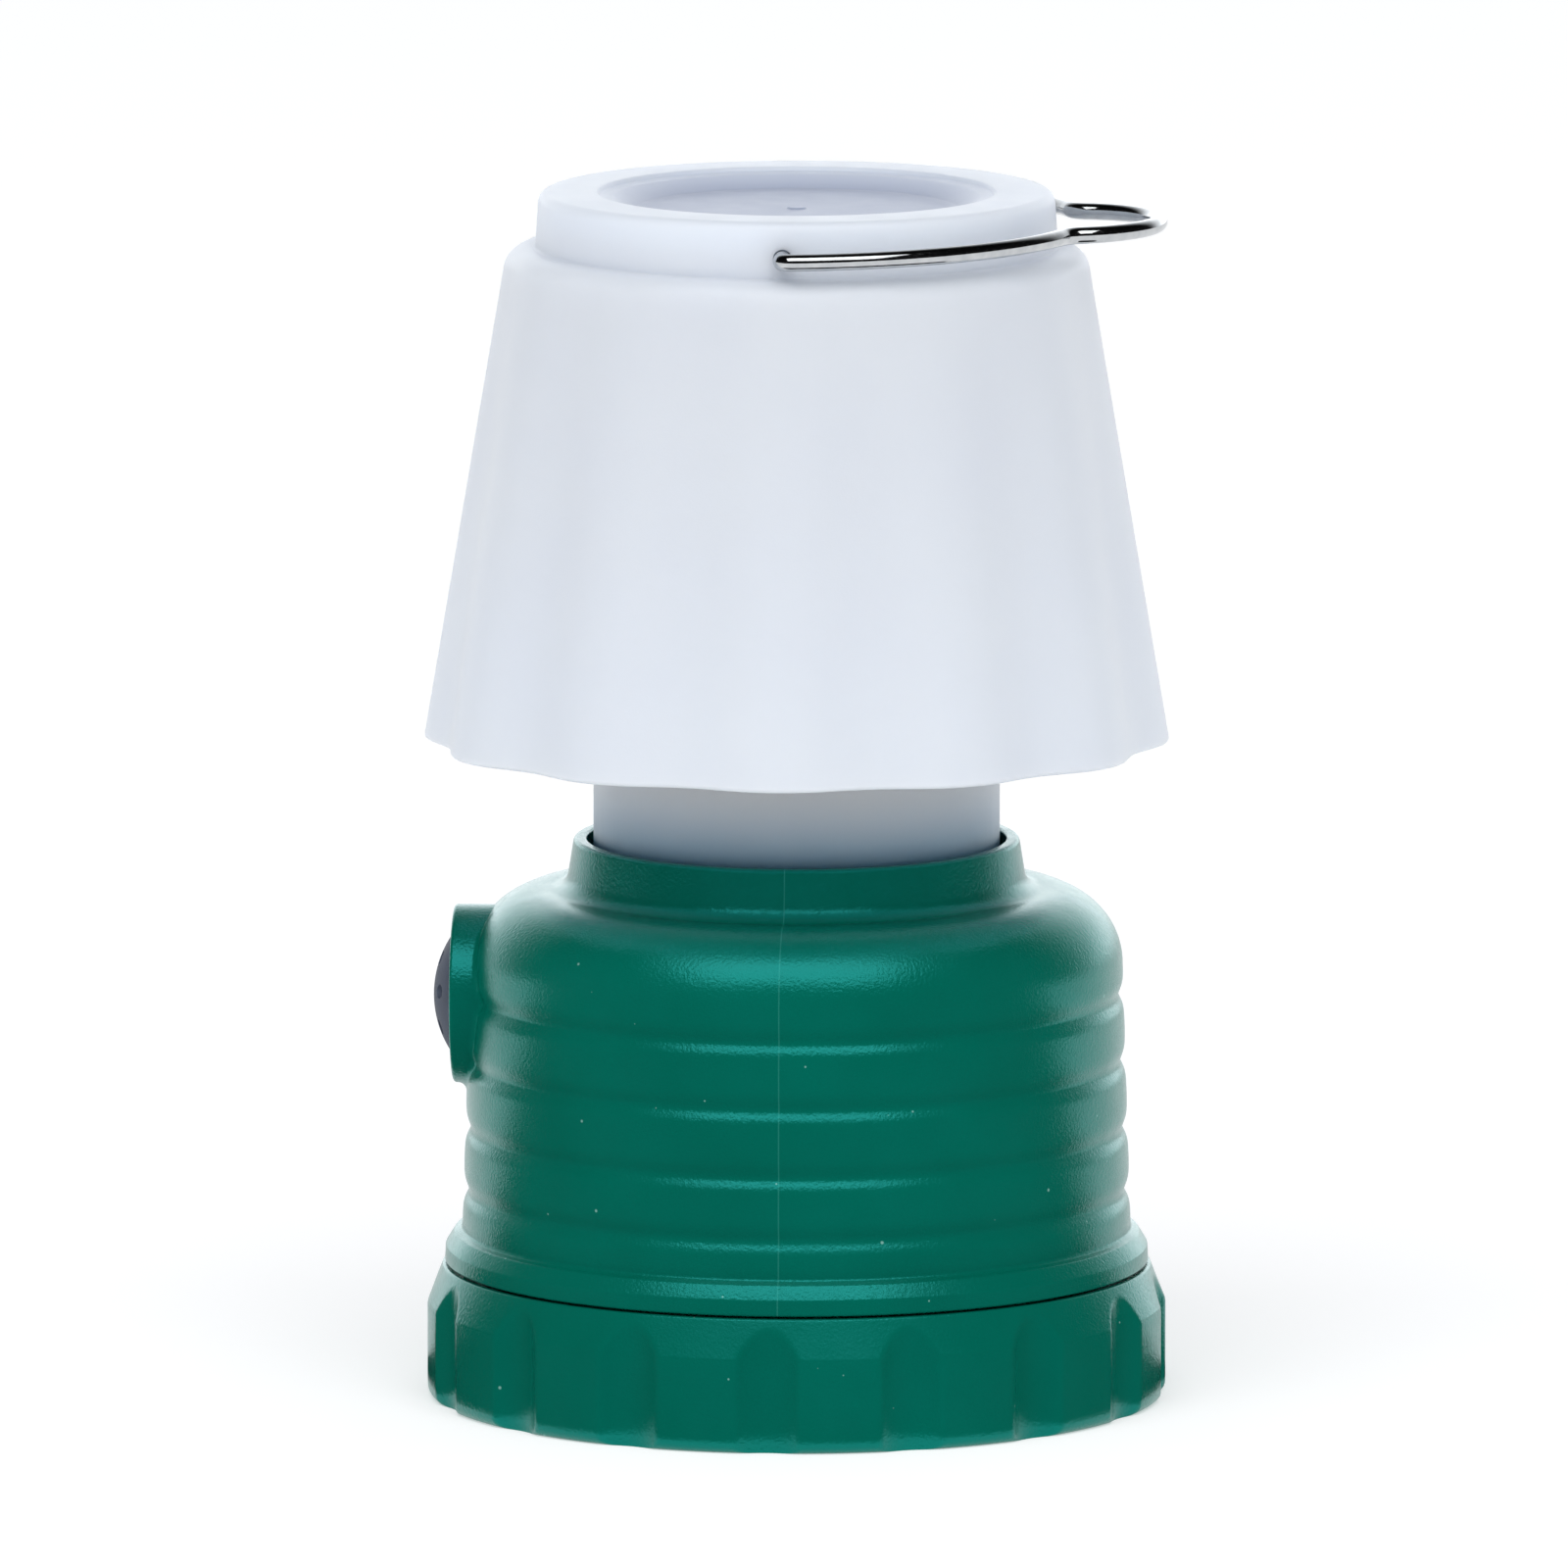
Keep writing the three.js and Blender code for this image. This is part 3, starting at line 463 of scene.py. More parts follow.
def green_plastic():
    """Satin moulded plastic with a fine spark-eroded grain, faint flow clouds, some dust and a
    painted highlight line down the mould's seam.
    """
    s = Shader("green_plastic", Roughness=0.24,
               Specular_IOR_Level=1.0, Specular_Tint=(0.08, 0.98, 1, 1))
    clouds = s.noise(14, detail=3)
    colour = s.clouded(clouds, rgb(0, 97, 80), rgb(0, 102, 85))
    # Painted highlight: a paler line down the mould's seam above the cap, where the seam would
    # catch the light.
    away = s.maths("ABSOLUTE", s.axis("X"), 0.0)
    seam = s.mapped(away, HOUSING["seam_highlight_width"] * MM, 0.4 * HOUSING["seam_highlight_width"] * MM, 0, 0.3)
    above_cap = s.maths("GREATER_THAN", s.axis("Z"), HOUSING["flange_level"] * MM)
    colour = s.mixed(s.maths("MULTIPLY", seam, above_cap), colour, rgb(60, 150, 136))
    fine = s.specks(size=0.26, spacing=3.4, share=1.0)
    coarse = s.specks(size=0.42, spacing=7.0, share=1.0)
    dust = s.maths("MULTIPLY", s.maths("ADD", fine, coarse), 0.6)
    s.link(s.mixed(dust, colour, rgb(150, 196, 186)), "Base Color")
    grain = s.noise(0.34, detail=2, roughness=0.6)
    scuffs = s.noise(5, detail=4, roughness=0.6)
    s.link(s.drift(scuffs, 0.2, 0.26), "Roughness")
    s.link(s.bump(grain, 0.05, normal=s.bump(clouds, 0.05)), "Normal")
    return s.material


def frosted_shade():
    """Milky translucent plastic that takes its light from all round."""
    s = Shader("frosted_shade", Roughness=0.42, Specular_IOR_Level=0.35,
               Subsurface_Weight=0.6, Subsurface_Scale=0.006, Subsurface_Radius=(0.9, 0.95, 1.0))
    clouds = s.noise(18, detail=3)
    colour = s.clouded(clouds, rgb(221, 228, 242), rgb(224, 231, 243))
    # Painted shade: the middle of the top dish is coloured greyer for the dimmer light through its
    # floor over the dark hollow below.
    x, y = s.axis("X"), s.axis("Y")
    out = s.maths("ADD", s.maths("MULTIPLY", x, x), s.maths("MULTIPLY", y, y))
    edge, full = SHADE["painted_shade_edge"] * MM, SHADE["painted_shade_radius"] * MM
    dish = s.mapped(out, edge ** 2, full ** 2, 0, 0.85)
    on_top = s.maths("GREATER_THAN", s.axis("Z"), (SHADE["dish_floor"] - 0.9) * MM)
    s.link(s.mixed(s.maths("MULTIPLY", dish, on_top), colour, rgb(156, 166, 194)), "Base Color")
    s.link(s.drift(s.noise(3, detail=3), 0.38, 0.46), "Roughness")
    s.link(s.bump(s.noise(0.2), 0.008, normal=s.bump(s.noise(7), 0.04)), "Normal")
    return s.material


def frosted_column():
    """The same plastic in a thinner, clearer grade, with the die's upright drag lines; its colour
    is painted darker toward the collar as shade.
    """
    s = Shader("frosted_column", Roughness=0.38, Specular_IOR_Level=0.4,
               Subsurface_Weight=1.0, Subsurface_Scale=0.008, Subsurface_Radius=(0.9, 0.95, 1.0))
    clouds = s.noise(12, detail=2)
    colour = s.clouded(clouds, rgb(220, 229, 243), rgb(226, 234, 246))
    # Painted shade: the column's colour darkens over the last few millimetres above the collar,
    # where the shade and the housing shade it.
    painted_shade_height = 8
    collar = HOUSING["top"]
    depth = s.mapped(s.axis("Z"), (collar + painted_shade_height) * MM, collar * MM, 0, 1)
    s.link(s.mixed(depth, colour, rgb(104, 138, 160)), "Base Color")
    drag = s.noise(0.5, detail=2, place=s.stretched((1, 1, 0.02)))
    s.link(s.drift(drag, 0.34, 0.42), "Roughness")
    s.link(s.bump(drag, 0.01), "Normal")
    return s.material


def slate_rubber():
    """Silicone rubber: matt, a little dusty, with a fine skin."""
    s = Shader("slate_rubber", Roughness=0.62, Specular_IOR_Level=0.4)
    clouds = s.noise(2.5, detail=3)
    colour = s.clouded(clouds, rgb(60, 68, 84), rgb(76, 85, 103))
    dust = s.specks(size=0.16, spacing=1.6, share=0.4)
    s.link(s.mixed(dust, colour, rgb(165, 170, 178)), "Base Color")
    s.link(s.drift(clouds, 0.55, 0.68), "Roughness")
    s.link(s.bump(s.noise(0.12), 0.01), "Normal")
    return s.material


def bail_wire():
    """Bright nickel-plated spring wire with faint drawing lines and hairline scratches."""
    s = Shader("bail_wire", Metallic=1.0, Roughness=0.1)
    clouds = s.noise(1.4, detail=3)
    s.link(s.clouded(clouds, rgb(182, 185, 188), rgb(198, 200, 201)), "Base Color")
    scratches = s.noise(0.25, detail=3, place=s.stretched((0.08, 1, 1)))
    s.link(s.mapped(scratches, 0.35, 0.75, 0.06, 0.17), "Roughness")
    s.link(s.bump(scratches, 0.003), "Normal")
    return s.material


def moulded_plastic(name, dark, light, roughness):
    """Plain moulded plastic for the inner parts."""
    s = Shader(name, Roughness=roughness)
    clouds = s.noise(4, detail=3)
    s.link(s.clouded(clouds, dark, light), "Base Color")
    s.link(s.drift(clouds, roughness - 0.05, roughness + 0.05), "Roughness")
    s.link(s.bump(s.noise(0.2), 0.01), "Normal")
    return s.material


def plated_metal(name, dark, light, roughness):
    """Rolled or machined metal with a brushed finish."""
    s = Shader(name, Metallic=1.0, Roughness=roughness)
    stain = s.noise(1.5, detail=4)
    s.link(s.clouded(stain, dark, light), "Base Color")
    brush = s.noise(0.12, detail=2, place=s.stretched((0.1, 1, 1)))
    s.link(s.drift(brush, roughness - 0.06, roughness + 0.08), "Roughness")
    s.link(s.bump(brush, 0.004), "Normal")
    return s.material


def circuit_board(name, mask, trace):
    """Solder mask with faint tracks under it."""
    s = Shader(name, Roughness=0.35)
    inputs = {"Vector": s.place, "Scale": 1 / (2.4 * MM)}
    tracks = s.node("ShaderNodeTexVoronoi", inputs, distance="MANHATTAN").outputs["Distance"]
    s.link(s.mixed(s.mapped(tracks, 0.35, 0.4, 0, 1), mask, trace), "Base Color")
    s.link(s.bump(tracks, 0.02), "Normal")
    return s.material


def led_phosphor():
    """Yellow phosphor under a clear lens."""
    s = Shader("led_phosphor", Roughness=0.15, Coat_Weight=0.6, Coat_Roughness=0.05)
    s.link(s.mixed(s.noise(0.4, detail=3), rgb(228, 190, 52), rgb(246, 221, 104)), "Base Color")
    s.link(s.bump(s.noise(0.6), 0.02), "Normal")
    return s.material


def cell_can():
    """A plain foil sleeve with a paler band round its positive end."""
    s = Shader("cell_can", Metallic=0.5, Roughness=0.3)
    band_level = 46
    band = s.maths("GREATER_THAN", s.axis("Z"), band_level * MM)
    s.link(s.mixed(band, rgb(52, 60, 74), rgb(150, 152, 156)), "Base Color")
    s.link(s.drift(s.noise(1.5, detail=3), 0.24, 0.36), "Roughness")
    s.link(s.bump(s.noise(0.8), 0.01), "Normal")
    return s.material


# ---------------------------------------------------------------------------
# Battery cap
# ---------------------------------------------------------------------------


def smooth_least(first, second, softness):
    """The lesser of two values, rounded where they cross."""
    near = np.maximum(softness - np.abs(first - second), 0) / softness
    return np.minimum(first, second) - near * near * softness / 4


def scalloped(angles, radii):
    """Cuts the grip hollows, each an upright cylinder, into the cap's outside."""
    half, depth = CAP["scallop_width"] / 2, CAP["scallop_depth"]
    cutter = (half * half + depth * depth) / (2 * depth)
    reach = CAP["radius"] - depth + cutter
    pitch = TURN / CAP["scallops"]
    offset = (angles - CAP["scallop_turn"] + pitch / 2) % pitch - pitch / 2
    inside = np.maximum(cutter ** 2 - (reach * np.sin(offset)) ** 2, 0)
    hollow = reach * np.cos(offset) - np.sqrt(inside)
    hollow = np.where(inside > 0, hollow, CAP["radius"] + 1)
    return smooth_least(radii, hollow, CAP["edge_softness"])


def thread_field(angles, level, start_level):
    """0 to 1 over each thread ridge at this level, for a wall with its ridges about Z."""
    height = np.zeros(len(angles))
    for i in range(THREAD["starts"]):
        along = (angles - TURN * i / THREAD["starts"]) % TURN
        middle = start_level + THREAD["lead"] * along / TURN
        away = np.abs(level - middle)
        flank = (THREAD["root_half"] - away) / (THREAD["root_half"] - THREAD["crest_half"])
        ends = np.minimum(along, THREAD["span"] - along) / THREAD["taper"]
        height = np.maximum(height, np.clip(flank, 0, 1) * np.clip(ends, 0, 1))
    return height


def cap_surface(angles, radii, level):
    """The scalloped outside and the threaded inside of the cap."""
    if radii[0] > CAP["bore_radius"] + 0.1:
        return scalloped(angles, radii)
    if radii[0] > CAP["bore_radius"] - 0.1:
        return radii - THREAD["depth"] * thread_field(angles, level, THREAD["cap_level"])
    return radii


def base_cap(material):
    """The battery cap: scalloped outside, threaded bore and flat underside."""
    c = CAP
    foot, line = c["foot_fillet"], c["chamfer_level"]
    creased = c["radius"] - c["mould_line"]
    outside = arc((c["radius"] - foot, foot), foot, -90, 0, 8)
    outside += [(c["radius"], level) for level in sampled(foot + 0.8, line - 0.16, 2.0)]
    outside += [(creased, line - 0.05), (creased, line + 0.05)]
    slope = (c["radius"] - c["rim_radius"]) / (c["height"] - line)
    for level in sampled(line + 0.16, c["height"] - 0.45, 0.11):
        outside.append((c["radius"] - slope * (level - line), level))
    rim = rounded([
        outside[-1],
        (c["rim_radius"], c["height"], c["rim_fillet"]),
        (c["bore_radius"] + 0.3, c["height"]),
    ])
    bore_levels = sampled(c["height"] - 0.3, c["floor"] + 0.6, 0.2)
    bore = [(c["bore_radius"], level) for level in bore_levels]
    underside = [(0, 0), (20, 0), (34, 0)]
    inside_floor = [(c["bore_radius"] - 0.6, c["floor"]), (20, c["floor"]), (0, c["floor"])]
    profile = underside + outside + rim[1:] + bore + inside_floor
    angles = even_angles(c["scallops"] * 40)
    return mesh_object("cap_shell", turned_rings(profile, angles, cap_surface), material, sharp=50)


# ---------------------------------------------------------------------------
# Housing
# ---------------------------------------------------------------------------


def wall_radius(level):
    """The ribbed wall: a taper with a slight bulge on each band and a soft groove between them."""
    h, g = HOUSING, GROOVES
    share = (level - h["wall_low"]) / (h["wall_high"] - h["wall_low"])
    radius = h["wall_radius_low"] + (h["wall_radius_high"] - h["wall_radius_low"]) * share
    edges = (h["wall_low"] - 1.5, *g["levels"], h["wall_high"] + 2)
    for low, high in zip(edges, edges[1:]):
        if low <= level <= high:
            across = (2 * level - low - high) / (high - low)
            radius -= g["bulge"] * across ** 2
    for middle in g["levels"]:
        width = g["width_below"] if level < middle else g["width_above"]
        radius -= (g["depth"] - g["bulge"]) * math.exp(-(((level - middle) / width) ** 2))
    return radius


def housing_profile():
    """The housing's outline, from its lower rim up the outside and down the inside."""
    h = HOUSING
    fillet_centre = h["wall_radius_high"] - h["shoulder_fillet"]
    shoulder_top = h["wall_high"] + h["shoulder_fillet"]
    neck = h["neck_fillet"]
    wall_levels = sampled(h["wall_low"] + 0.6, h["wall_high"], 0.25)
    wall = [(wall_radius(level), level) for level in wall_levels]
    ease = wall[-1][0] - h["wall_radius_high"]
    foot = rounded([
        (h["skirt_radius"], h["flange_level"] - 0.2),
        (h["skirt_radius"], h["flange_level"]),
        (h["flange_radius"], h["flange_level"], 0.3),
        (h["flange_radius"] - 0.1, h["flange_level"] + h["flange_edge"], 0.45),
        (h["flange_radius"] - h["flange_slope"], h["flange_level"] + h["flange_height"], 0.4),
        (wall[0][0], wall[0][1] - 0.75, 0.5),
        wall[0],
    ])
    steps = 24
    shoulder = arc((fillet_centre, h["wall_high"]), h["shoulder_fillet"], 0, 90, steps)
    shoulder = [(r + ease * (1 - i / steps), z) for i, (r, z) in enumerate(shoulder)]
    collar = rounded([
        (fillet_centre - 0.1, shoulder_top),
        (h["collar_radius_low"], shoulder_top, neck),
        (h["collar_radius_high"], h["top"], 0.55),
        (h["collar_bore"], h["top"], 0.3),
        (h["collar_bore"], h["throat_level"]),
        (h["throat_radius"], h["throat_level"]),
        (h["throat_radius"], h["ceiling"]),
        (fillet_centre, h["ceiling"]),
    ], steps=8)
    inner = arc((fillet_centre, h["wall_high"]), h["inner_radius"] - fillet_centre, 90, 0, 10)
    skirt_levels = sampled(h["low"] + 0.3, h["flange_level"] - 0.4, 0.2)
    skirt = [(h["skirt_radius"], level) for level in skirt_levels]
    rim = [(h["inner_radius"], h["low"] + 0.3), (h["inner_radius"] + 0.3, h["low"]),
           (h["skirt_radius"] - 0.3, h["low"])]
    return rim + skirt + foot + wall[1:] + shoulder[1:] + collar + inner[1:]


def housing_angles():
    """Even angles, with a few close together at the mould's seams, front and back."""
    radius = 36
    offsets = (-0.2, -0.07, 0.07, 0.2)  # millimetres along the wall
    extra = [seam + offset / radius for seam in (FRONT, -FRONT) for offset in offsets]
    return np.sort(np.concatenate([even_angles(256), np.array(extra) % TURN]))


def housing_surface(angles, radii, level):
    """Thread ridges on the skirt, and the mould's seam down the front and back."""
    h = HOUSING
    if level < h["flange_level"] - 0.1:
        if radii[0] < h["skirt_radius"] - 0.1:
            return radii
        return radii + THREAD["depth"] * thread_field(angles, level, THREAD["housing_level"])
    in_collar = radii[0] < h["collar_bore"] + 0.5
    in_chamber = radii[0] < h["inner_radius"] + 0.1 and level < h["ceiling"] + 0.1
    if in_collar or in_chamber:
        return radii
    curved_back = radii[0] * (1 - np.abs(np.sin(angles)))
    return radii - h["seam_depth"] * np.exp(-((curved_back / h["seam_fall"]) ** 2))


def boss_reach(angle, radius):
    """Distance of the housing wall from the YZ plane where the boss's outline meets it."""
    y = radius * math.sin(angle)
    level = BOSS["level"] + radius * math.cos(angle)
    h = HOUSING
    if level > h["wall_high"]:
        rise = min((level - h["wall_high"]) / h["shoulder_fillet"], 0.999)
        wall = h["wall_radius_high"] - h["shoulder_fillet"] * (1 - math.sqrt(1 - rise * rise))
    else:
        wall = wall_radius(level)
    return math.sqrt(wall * wall - y * y)


def button_boss():
    """The round boss, flared where it meets the wall, as a closed solid."""
    b = BOSS
    angles = even_angles(128)
    foot_radius = b["radius"] + b["fillet"]
    front = rounded([(0.01, b["face"]), (b["radius"], b["face"], b["edge_fillet"]),
                     (b["radius"], b["face"] - 1)])[1:-1]
    rings = turned_rings([(0, b["face"])] + front, angles)
    wall = np.array([boss_reach(angle, foot_radius) for angle in angles])
    highest = b["face"] - b["edge_fillet"] - 0.02
    steps = 8
    for i in range(steps + 1):
        swing = math.radians(90) * i / steps
        flare = b["fillet"] * (1 - math.cos(swing))
        lift = b["fillet"] * (1 - math.sin(swing))
        rings.append(ring(b["radius"] + flare, angles, np.minimum(wall + lift, highest)))
    rings += turned_rings([(foot_radius, b["root"]), (0, b["root"])], angles)
    return mesh_object("boss", toward_button(rings, b["level"]))


def plug(radius, low, high):
    """A round cutter along the button's axis."""
    profile = [(0, low), (radius, low), (radius, high), (0, high)]
    return mesh_object("plug", toward_button(turned_rings(profile, even_angles(96)), BOSS["level"]))


def housing(material):
    """The ribbed housing with its button boss."""
    b = BOSS
    shell = mesh_object(
        "housing_shell",
        turned_rings(housing_profile(), housing_angles(), housing_surface),
        material, loop=True,
    )
    boolean(shell, button_boss(), "UNION")
    boolean(shell, plug(b["chamber"], b["root"] - 6, b["face"] - b["face_thickness"]), "DIFFERENCE")
    boolean(shell, plug(b["opening"], b["root"], b["face"] + 1), "DIFFERENCE")
    shade_by_angle(shell.data, 38)
    return shell


# ---------------------------------------------------------------------------
# Push button
# ---------------------------------------------------------------------------


def button_height(radius, angles):
    """The dome's height, with a ring of round dimples."""
    b = BUTTON
    rise = b["tip"] - b["edge"]
    sphere = (b["radius"] ** 2 + rise ** 2) / (2 * rise)
    height = np.full(len(angles), b["tip"] - sphere + math.sqrt(sphere ** 2 - radius ** 2))
    x, y = radius * np.cos(angles), radius * np.sin(angles)
    for i in range(b["dimples"]):
        turn = TURN * i / b["dimples"] + b["dimple_turn"]
        dimple_x = b["dimple_circle"] * math.cos(turn)
        dimple_y = b["dimple_circle"] * math.sin(turn)
        away = np.hypot(x - dimple_x, y - dimple_y)
        share = np.clip((b["dimple_radius"] - away) / b["dimple_edge"], 0, 1)
        height -= b["dimple_depth"] * share * share * (3 - 2 * share)
    return height


def power_button(material):
    """The rubber dome with its flange and stem."""
    b = BUTTON
    angles = even_angles(240)
    back = b["flange_front"] - b["flange_thickness"]
    profile = rounded([
        (0, b["stem_end"]),
        (b["stem_radius"], b["stem_end"], 0.2),
        (b["stem_radius"], back, 0.3),
        (b["flange_radius"], back, 0.2),
        (b["flange_radius"], b["flange_front"], 0.3),
        (b["radius"] + 0.02, b["flange_front"], 0.2),
        (b["radius"], b["edge"] - 0.1),
    ])
    rings = turned_rings(profile, angles)
    for radius in sampled(b["radius"] - 0.06, 0.14, 0.14):
        rings.append(ring(radius, angles, button_height(radius, angles)))
    rings.append(pole(b["tip"]))
    return mesh_object("button_dome", toward_button(rings, BOSS["level"]), material)


# ---------------------------------------------------------------------------
# Light column and shade
# ---------------------------------------------------------------------------


def diffuser_tube(material):
    """The light column, with the flange that holds it in the housing."""
    t = TUBE
    low, high = TUBE_LOW.z, TUBE_HIGH.z
    profile = rounded([
        (t["bore"], low + 4),
        (t["bore"], low, 0.3),
        (t["flange_radius"], low, 0.3),
        (t["flange_radius"], low + t["flange_thickness"], 0.4),
        (t["radius"], low + t["flange_thickness"], 0.3),
        (t["radius"], high, 0.4),
        (t["bore"], high, 0.4),
        (t["bore"], high - 4),
    ], steps=4)
    return mesh_object("column_tube", turned_rings(profile, even_angles(160)), material, loop=True)


def fluted(angles, radii, level):
    """Pulls the skirt in between its flutes: most at the lower edge, a trace at the shoulder."""
    s = SHADE
    if radii[0] < s["cap_bore"] + 0.5 or level > s["shoulder_top"] - 0.05:
        return radii
    fall = (s["shoulder_level"] - level) / (s["shoulder_level"] - s["low"])
    top = s["flute_depth_top"]
    if fall > 0:
        depth = top + (s["flute_depth"] - top) * fall
    else:
        depth = top * (s["shoulder_top"] - level) / (s["shoulder_top"] - s["shoulder_level"])
    wave = (1 - np.cos(s["flutes"] * (angles - FRONT))) / 2
    return radii - depth * wave ** s["flute_narrowing"]


def shade_profile():
    """The shade's outline, from its middle down the inside and back up the outside."""
    s = SHADE
    stop = TUBE_HIGH.z + 0.3
    slope_top = (s["shoulder_radius"], s["shoulder_level"])
    slope_low = (s["crest_radius"], s["low"])
    inner_top = s["shoulder_top"] - s["thickness"]
    wall = s["thickness"]
    inside = rounded([
        (0, s["ceiling"]),
        (s["stop_bore"], s["ceiling"], 0.3),
        (s["stop_bore"], stop, 0.2),
        (s["socket_bore"], stop, 0.2),
        (s["socket_bore"], s["socket_low"], 0.4),
        (s["socket_radius"], s["socket_low"], 0.4),
        (s["socket_radius"], s["ceiling"], 0.5),
        (s["cap_bore"], s["ceiling"], 0.5),
        (s["cap_bore"], inner_top, 0.5),
        (s["shoulder_radius"] - wall, inner_top, 1.2),
        (s["crest_radius"] - wall, s["low"]),
    ], steps=4)
    edge_top = (s["crest_radius"] - wall + 0.05, s["low"] + 0.45)
    skirt_in = on_line(inside[-2], edge_top, sampled(0, 1, 0.06)[1:])
    edge = rounded([
        edge_top,
        (s["crest_radius"] - wall, s["low"], 0.4),
        (s["crest_radius"], s["low"], 0.45),
        (s["crest_radius"] - 0.16, s["low"] + 1),
    ], steps=5)[1:-1]
    skirt_out = on_line(slope_low, slope_top, sampled(0.02, 1, 0.04)[:-1])
    top = rounded([
        skirt_out[-1],
        (s["shoulder_radius"] - 0.45, s["shoulder_top"], s["shoulder_fillet"]),
        (s["cap_radius_low"], s["shoulder_top"], 0.35),
        (s["cap_radius_high"], s["top"], s["cap_fillet"]),
        (s["step_radius"], s["top"], 0.3),
        (s["step_radius"] - 0.25, s["top"] - 0.45, 0.2),
        (s["dish_radius"], s["top"] - 0.6, 0.9),
        (s["dish_floor_radius"], s["dish_floor"], 0.8),
        (8, s["dish_floor"]),
        (s["gate_radius"], s["dish_floor"], 0.15),
        (s["gate_radius"] - 0.2, s["dish_floor"] + s["gate_height"] - 0.02, 0.1),
        (0, s["dish_floor"] + s["gate_height"]),
    ], steps=8)
    return inside[:-1] + skirt_in + edge + skirt_out + top[1:]


def shade(material):
    """The fluted shade, drilled for the bail at its front and back."""
    s = SHADE
    angles = even_angles(s["flutes"] * 24)
    piece = mesh_object("shade_shell", turned_rings(shade_profile(), angles, fluted), material)
    near, far, hole = s["socket_radius"] + 1, s["cap_radius_low"] + 2, BAIL["hole_radius"]
    drill = turned_rings([(0, near), (hole, near), (hole, far), (0, far)], even_angles(32))
    for side in (-1, 1):
        turned = [np.stack([points[:, 0], side * points[:, 2], points[:, 1] + BAIL["pivot_level"]],
                           axis=1) for points in drill]
        boolean(piece, mesh_object("pivot_drill", turned), "DIFFERENCE")
    shade_by_angle(piece.data, 38)
    return piece


# ---------------------------------------------------------------------------
# Wire bail
# ---------------------------------------------------------------------------


def bail_path():
    """The wire's centre line in the plane of the folded bail: half of it, then its mirror image."""
    b = BAIL
    arm, loop = b["arm_radius"], b["loop_radius"]
    loop_centre = b["loop_tip"] - loop
    kink_x = (arm ** 2 - loop ** 2 + loop_centre ** 2) / (2 * loop_centre)
    kink_angle = math.asin(kink_x / arm)
    loop_angle = math.acos((kink_x - loop_centre) / loop)

    def on_arm(share):
        angle = share * kink_angle
        return arm * math.sin(angle), -arm * math.cos(angle)

    def on_loop(share):
        angle = share * loop_angle
        return loop_centre + loop * math.cos(angle), -loop * math.sin(angle)

    # The arm and the loop stop short of the corners, which leaves room for the bends there.
    arm_points = [on_arm(share) for share in sampled(0.08, 0.94, 0.02)]
    loop_points = [on_loop(share) for share in sampled(0.84, 0, 0.04)]
    bend = fillet((0, -b["stub_end"]), (0, -arm), arm_points[0], b["bend_radius"], steps=10)
    kink = fillet(arm_points[-1], on_arm(1), loop_points[0], b["kink_radius"], steps=8)
    half = [(0, -b["stub_end"])] + bend + arm_points[1:] + kink + loop_points
    return half + [(x, -y) for x, y in reversed(half[:-1])]


def swept_rings(path, radius, sides=28):
    """Round sections along a flat path, with domed ends."""
    centres = np.array([(x, y, 0.0) for x, y in path])
    along = np.gradient(centres, axis=0)
    along /= np.linalg.norm(along, axis=1)[:, None]
    up = np.array([0.0, 0.0, 1.0])
    turns = np.arange(sides) * TURN / sides

    def section(centre, direction, size):
        across = np.cross(direction, up)
        return centre + size * (np.outer(np.cos(turns), across) + np.outer(np.sin(turns), up))

    def dome(centre, inward, direction):
        """The sections that round one end, from the outermost one in."""
        sections = []
        for share in (0.35, 0.75, 0.93):
            depth = 0.6 * radius * (1 - math.sqrt(1 - share ** 2))
            sections.append(section(centre + inward * depth, direction, radius * share))
        return sections

    middle = [section(c, d, radius) for c, d in zip(centres[1:-1], along[1:-1])]
    first = dome(centres[0], along[0], along[0])
    last = dome(centres[-1], -along[-1], along[-1])
    return [centres[:1]] + first + middle + last[::-1] + [centres[-1:]]


def bail(material):
    """The wire bail, folded down as in the photograph."""
    b = BAIL
    cos, sin = math.cos(b["rise"]), math.sin(b["rise"])
    rings = []
    for points in swept_rings(bail_path(), b["wire"] / 2):
        x, y, z = points[:, 0], points[:, 1], points[:, 2]
        rings.append(np.stack([x * cos - z * sin, y, x * sin + z * cos + b["pivot_level"]], axis=1))
    return mesh_object("bail_wire_loop", rings, material)


# ---------------------------------------------------------------------------
# Pieces on their bodies
# ---------------------------------------------------------------------------

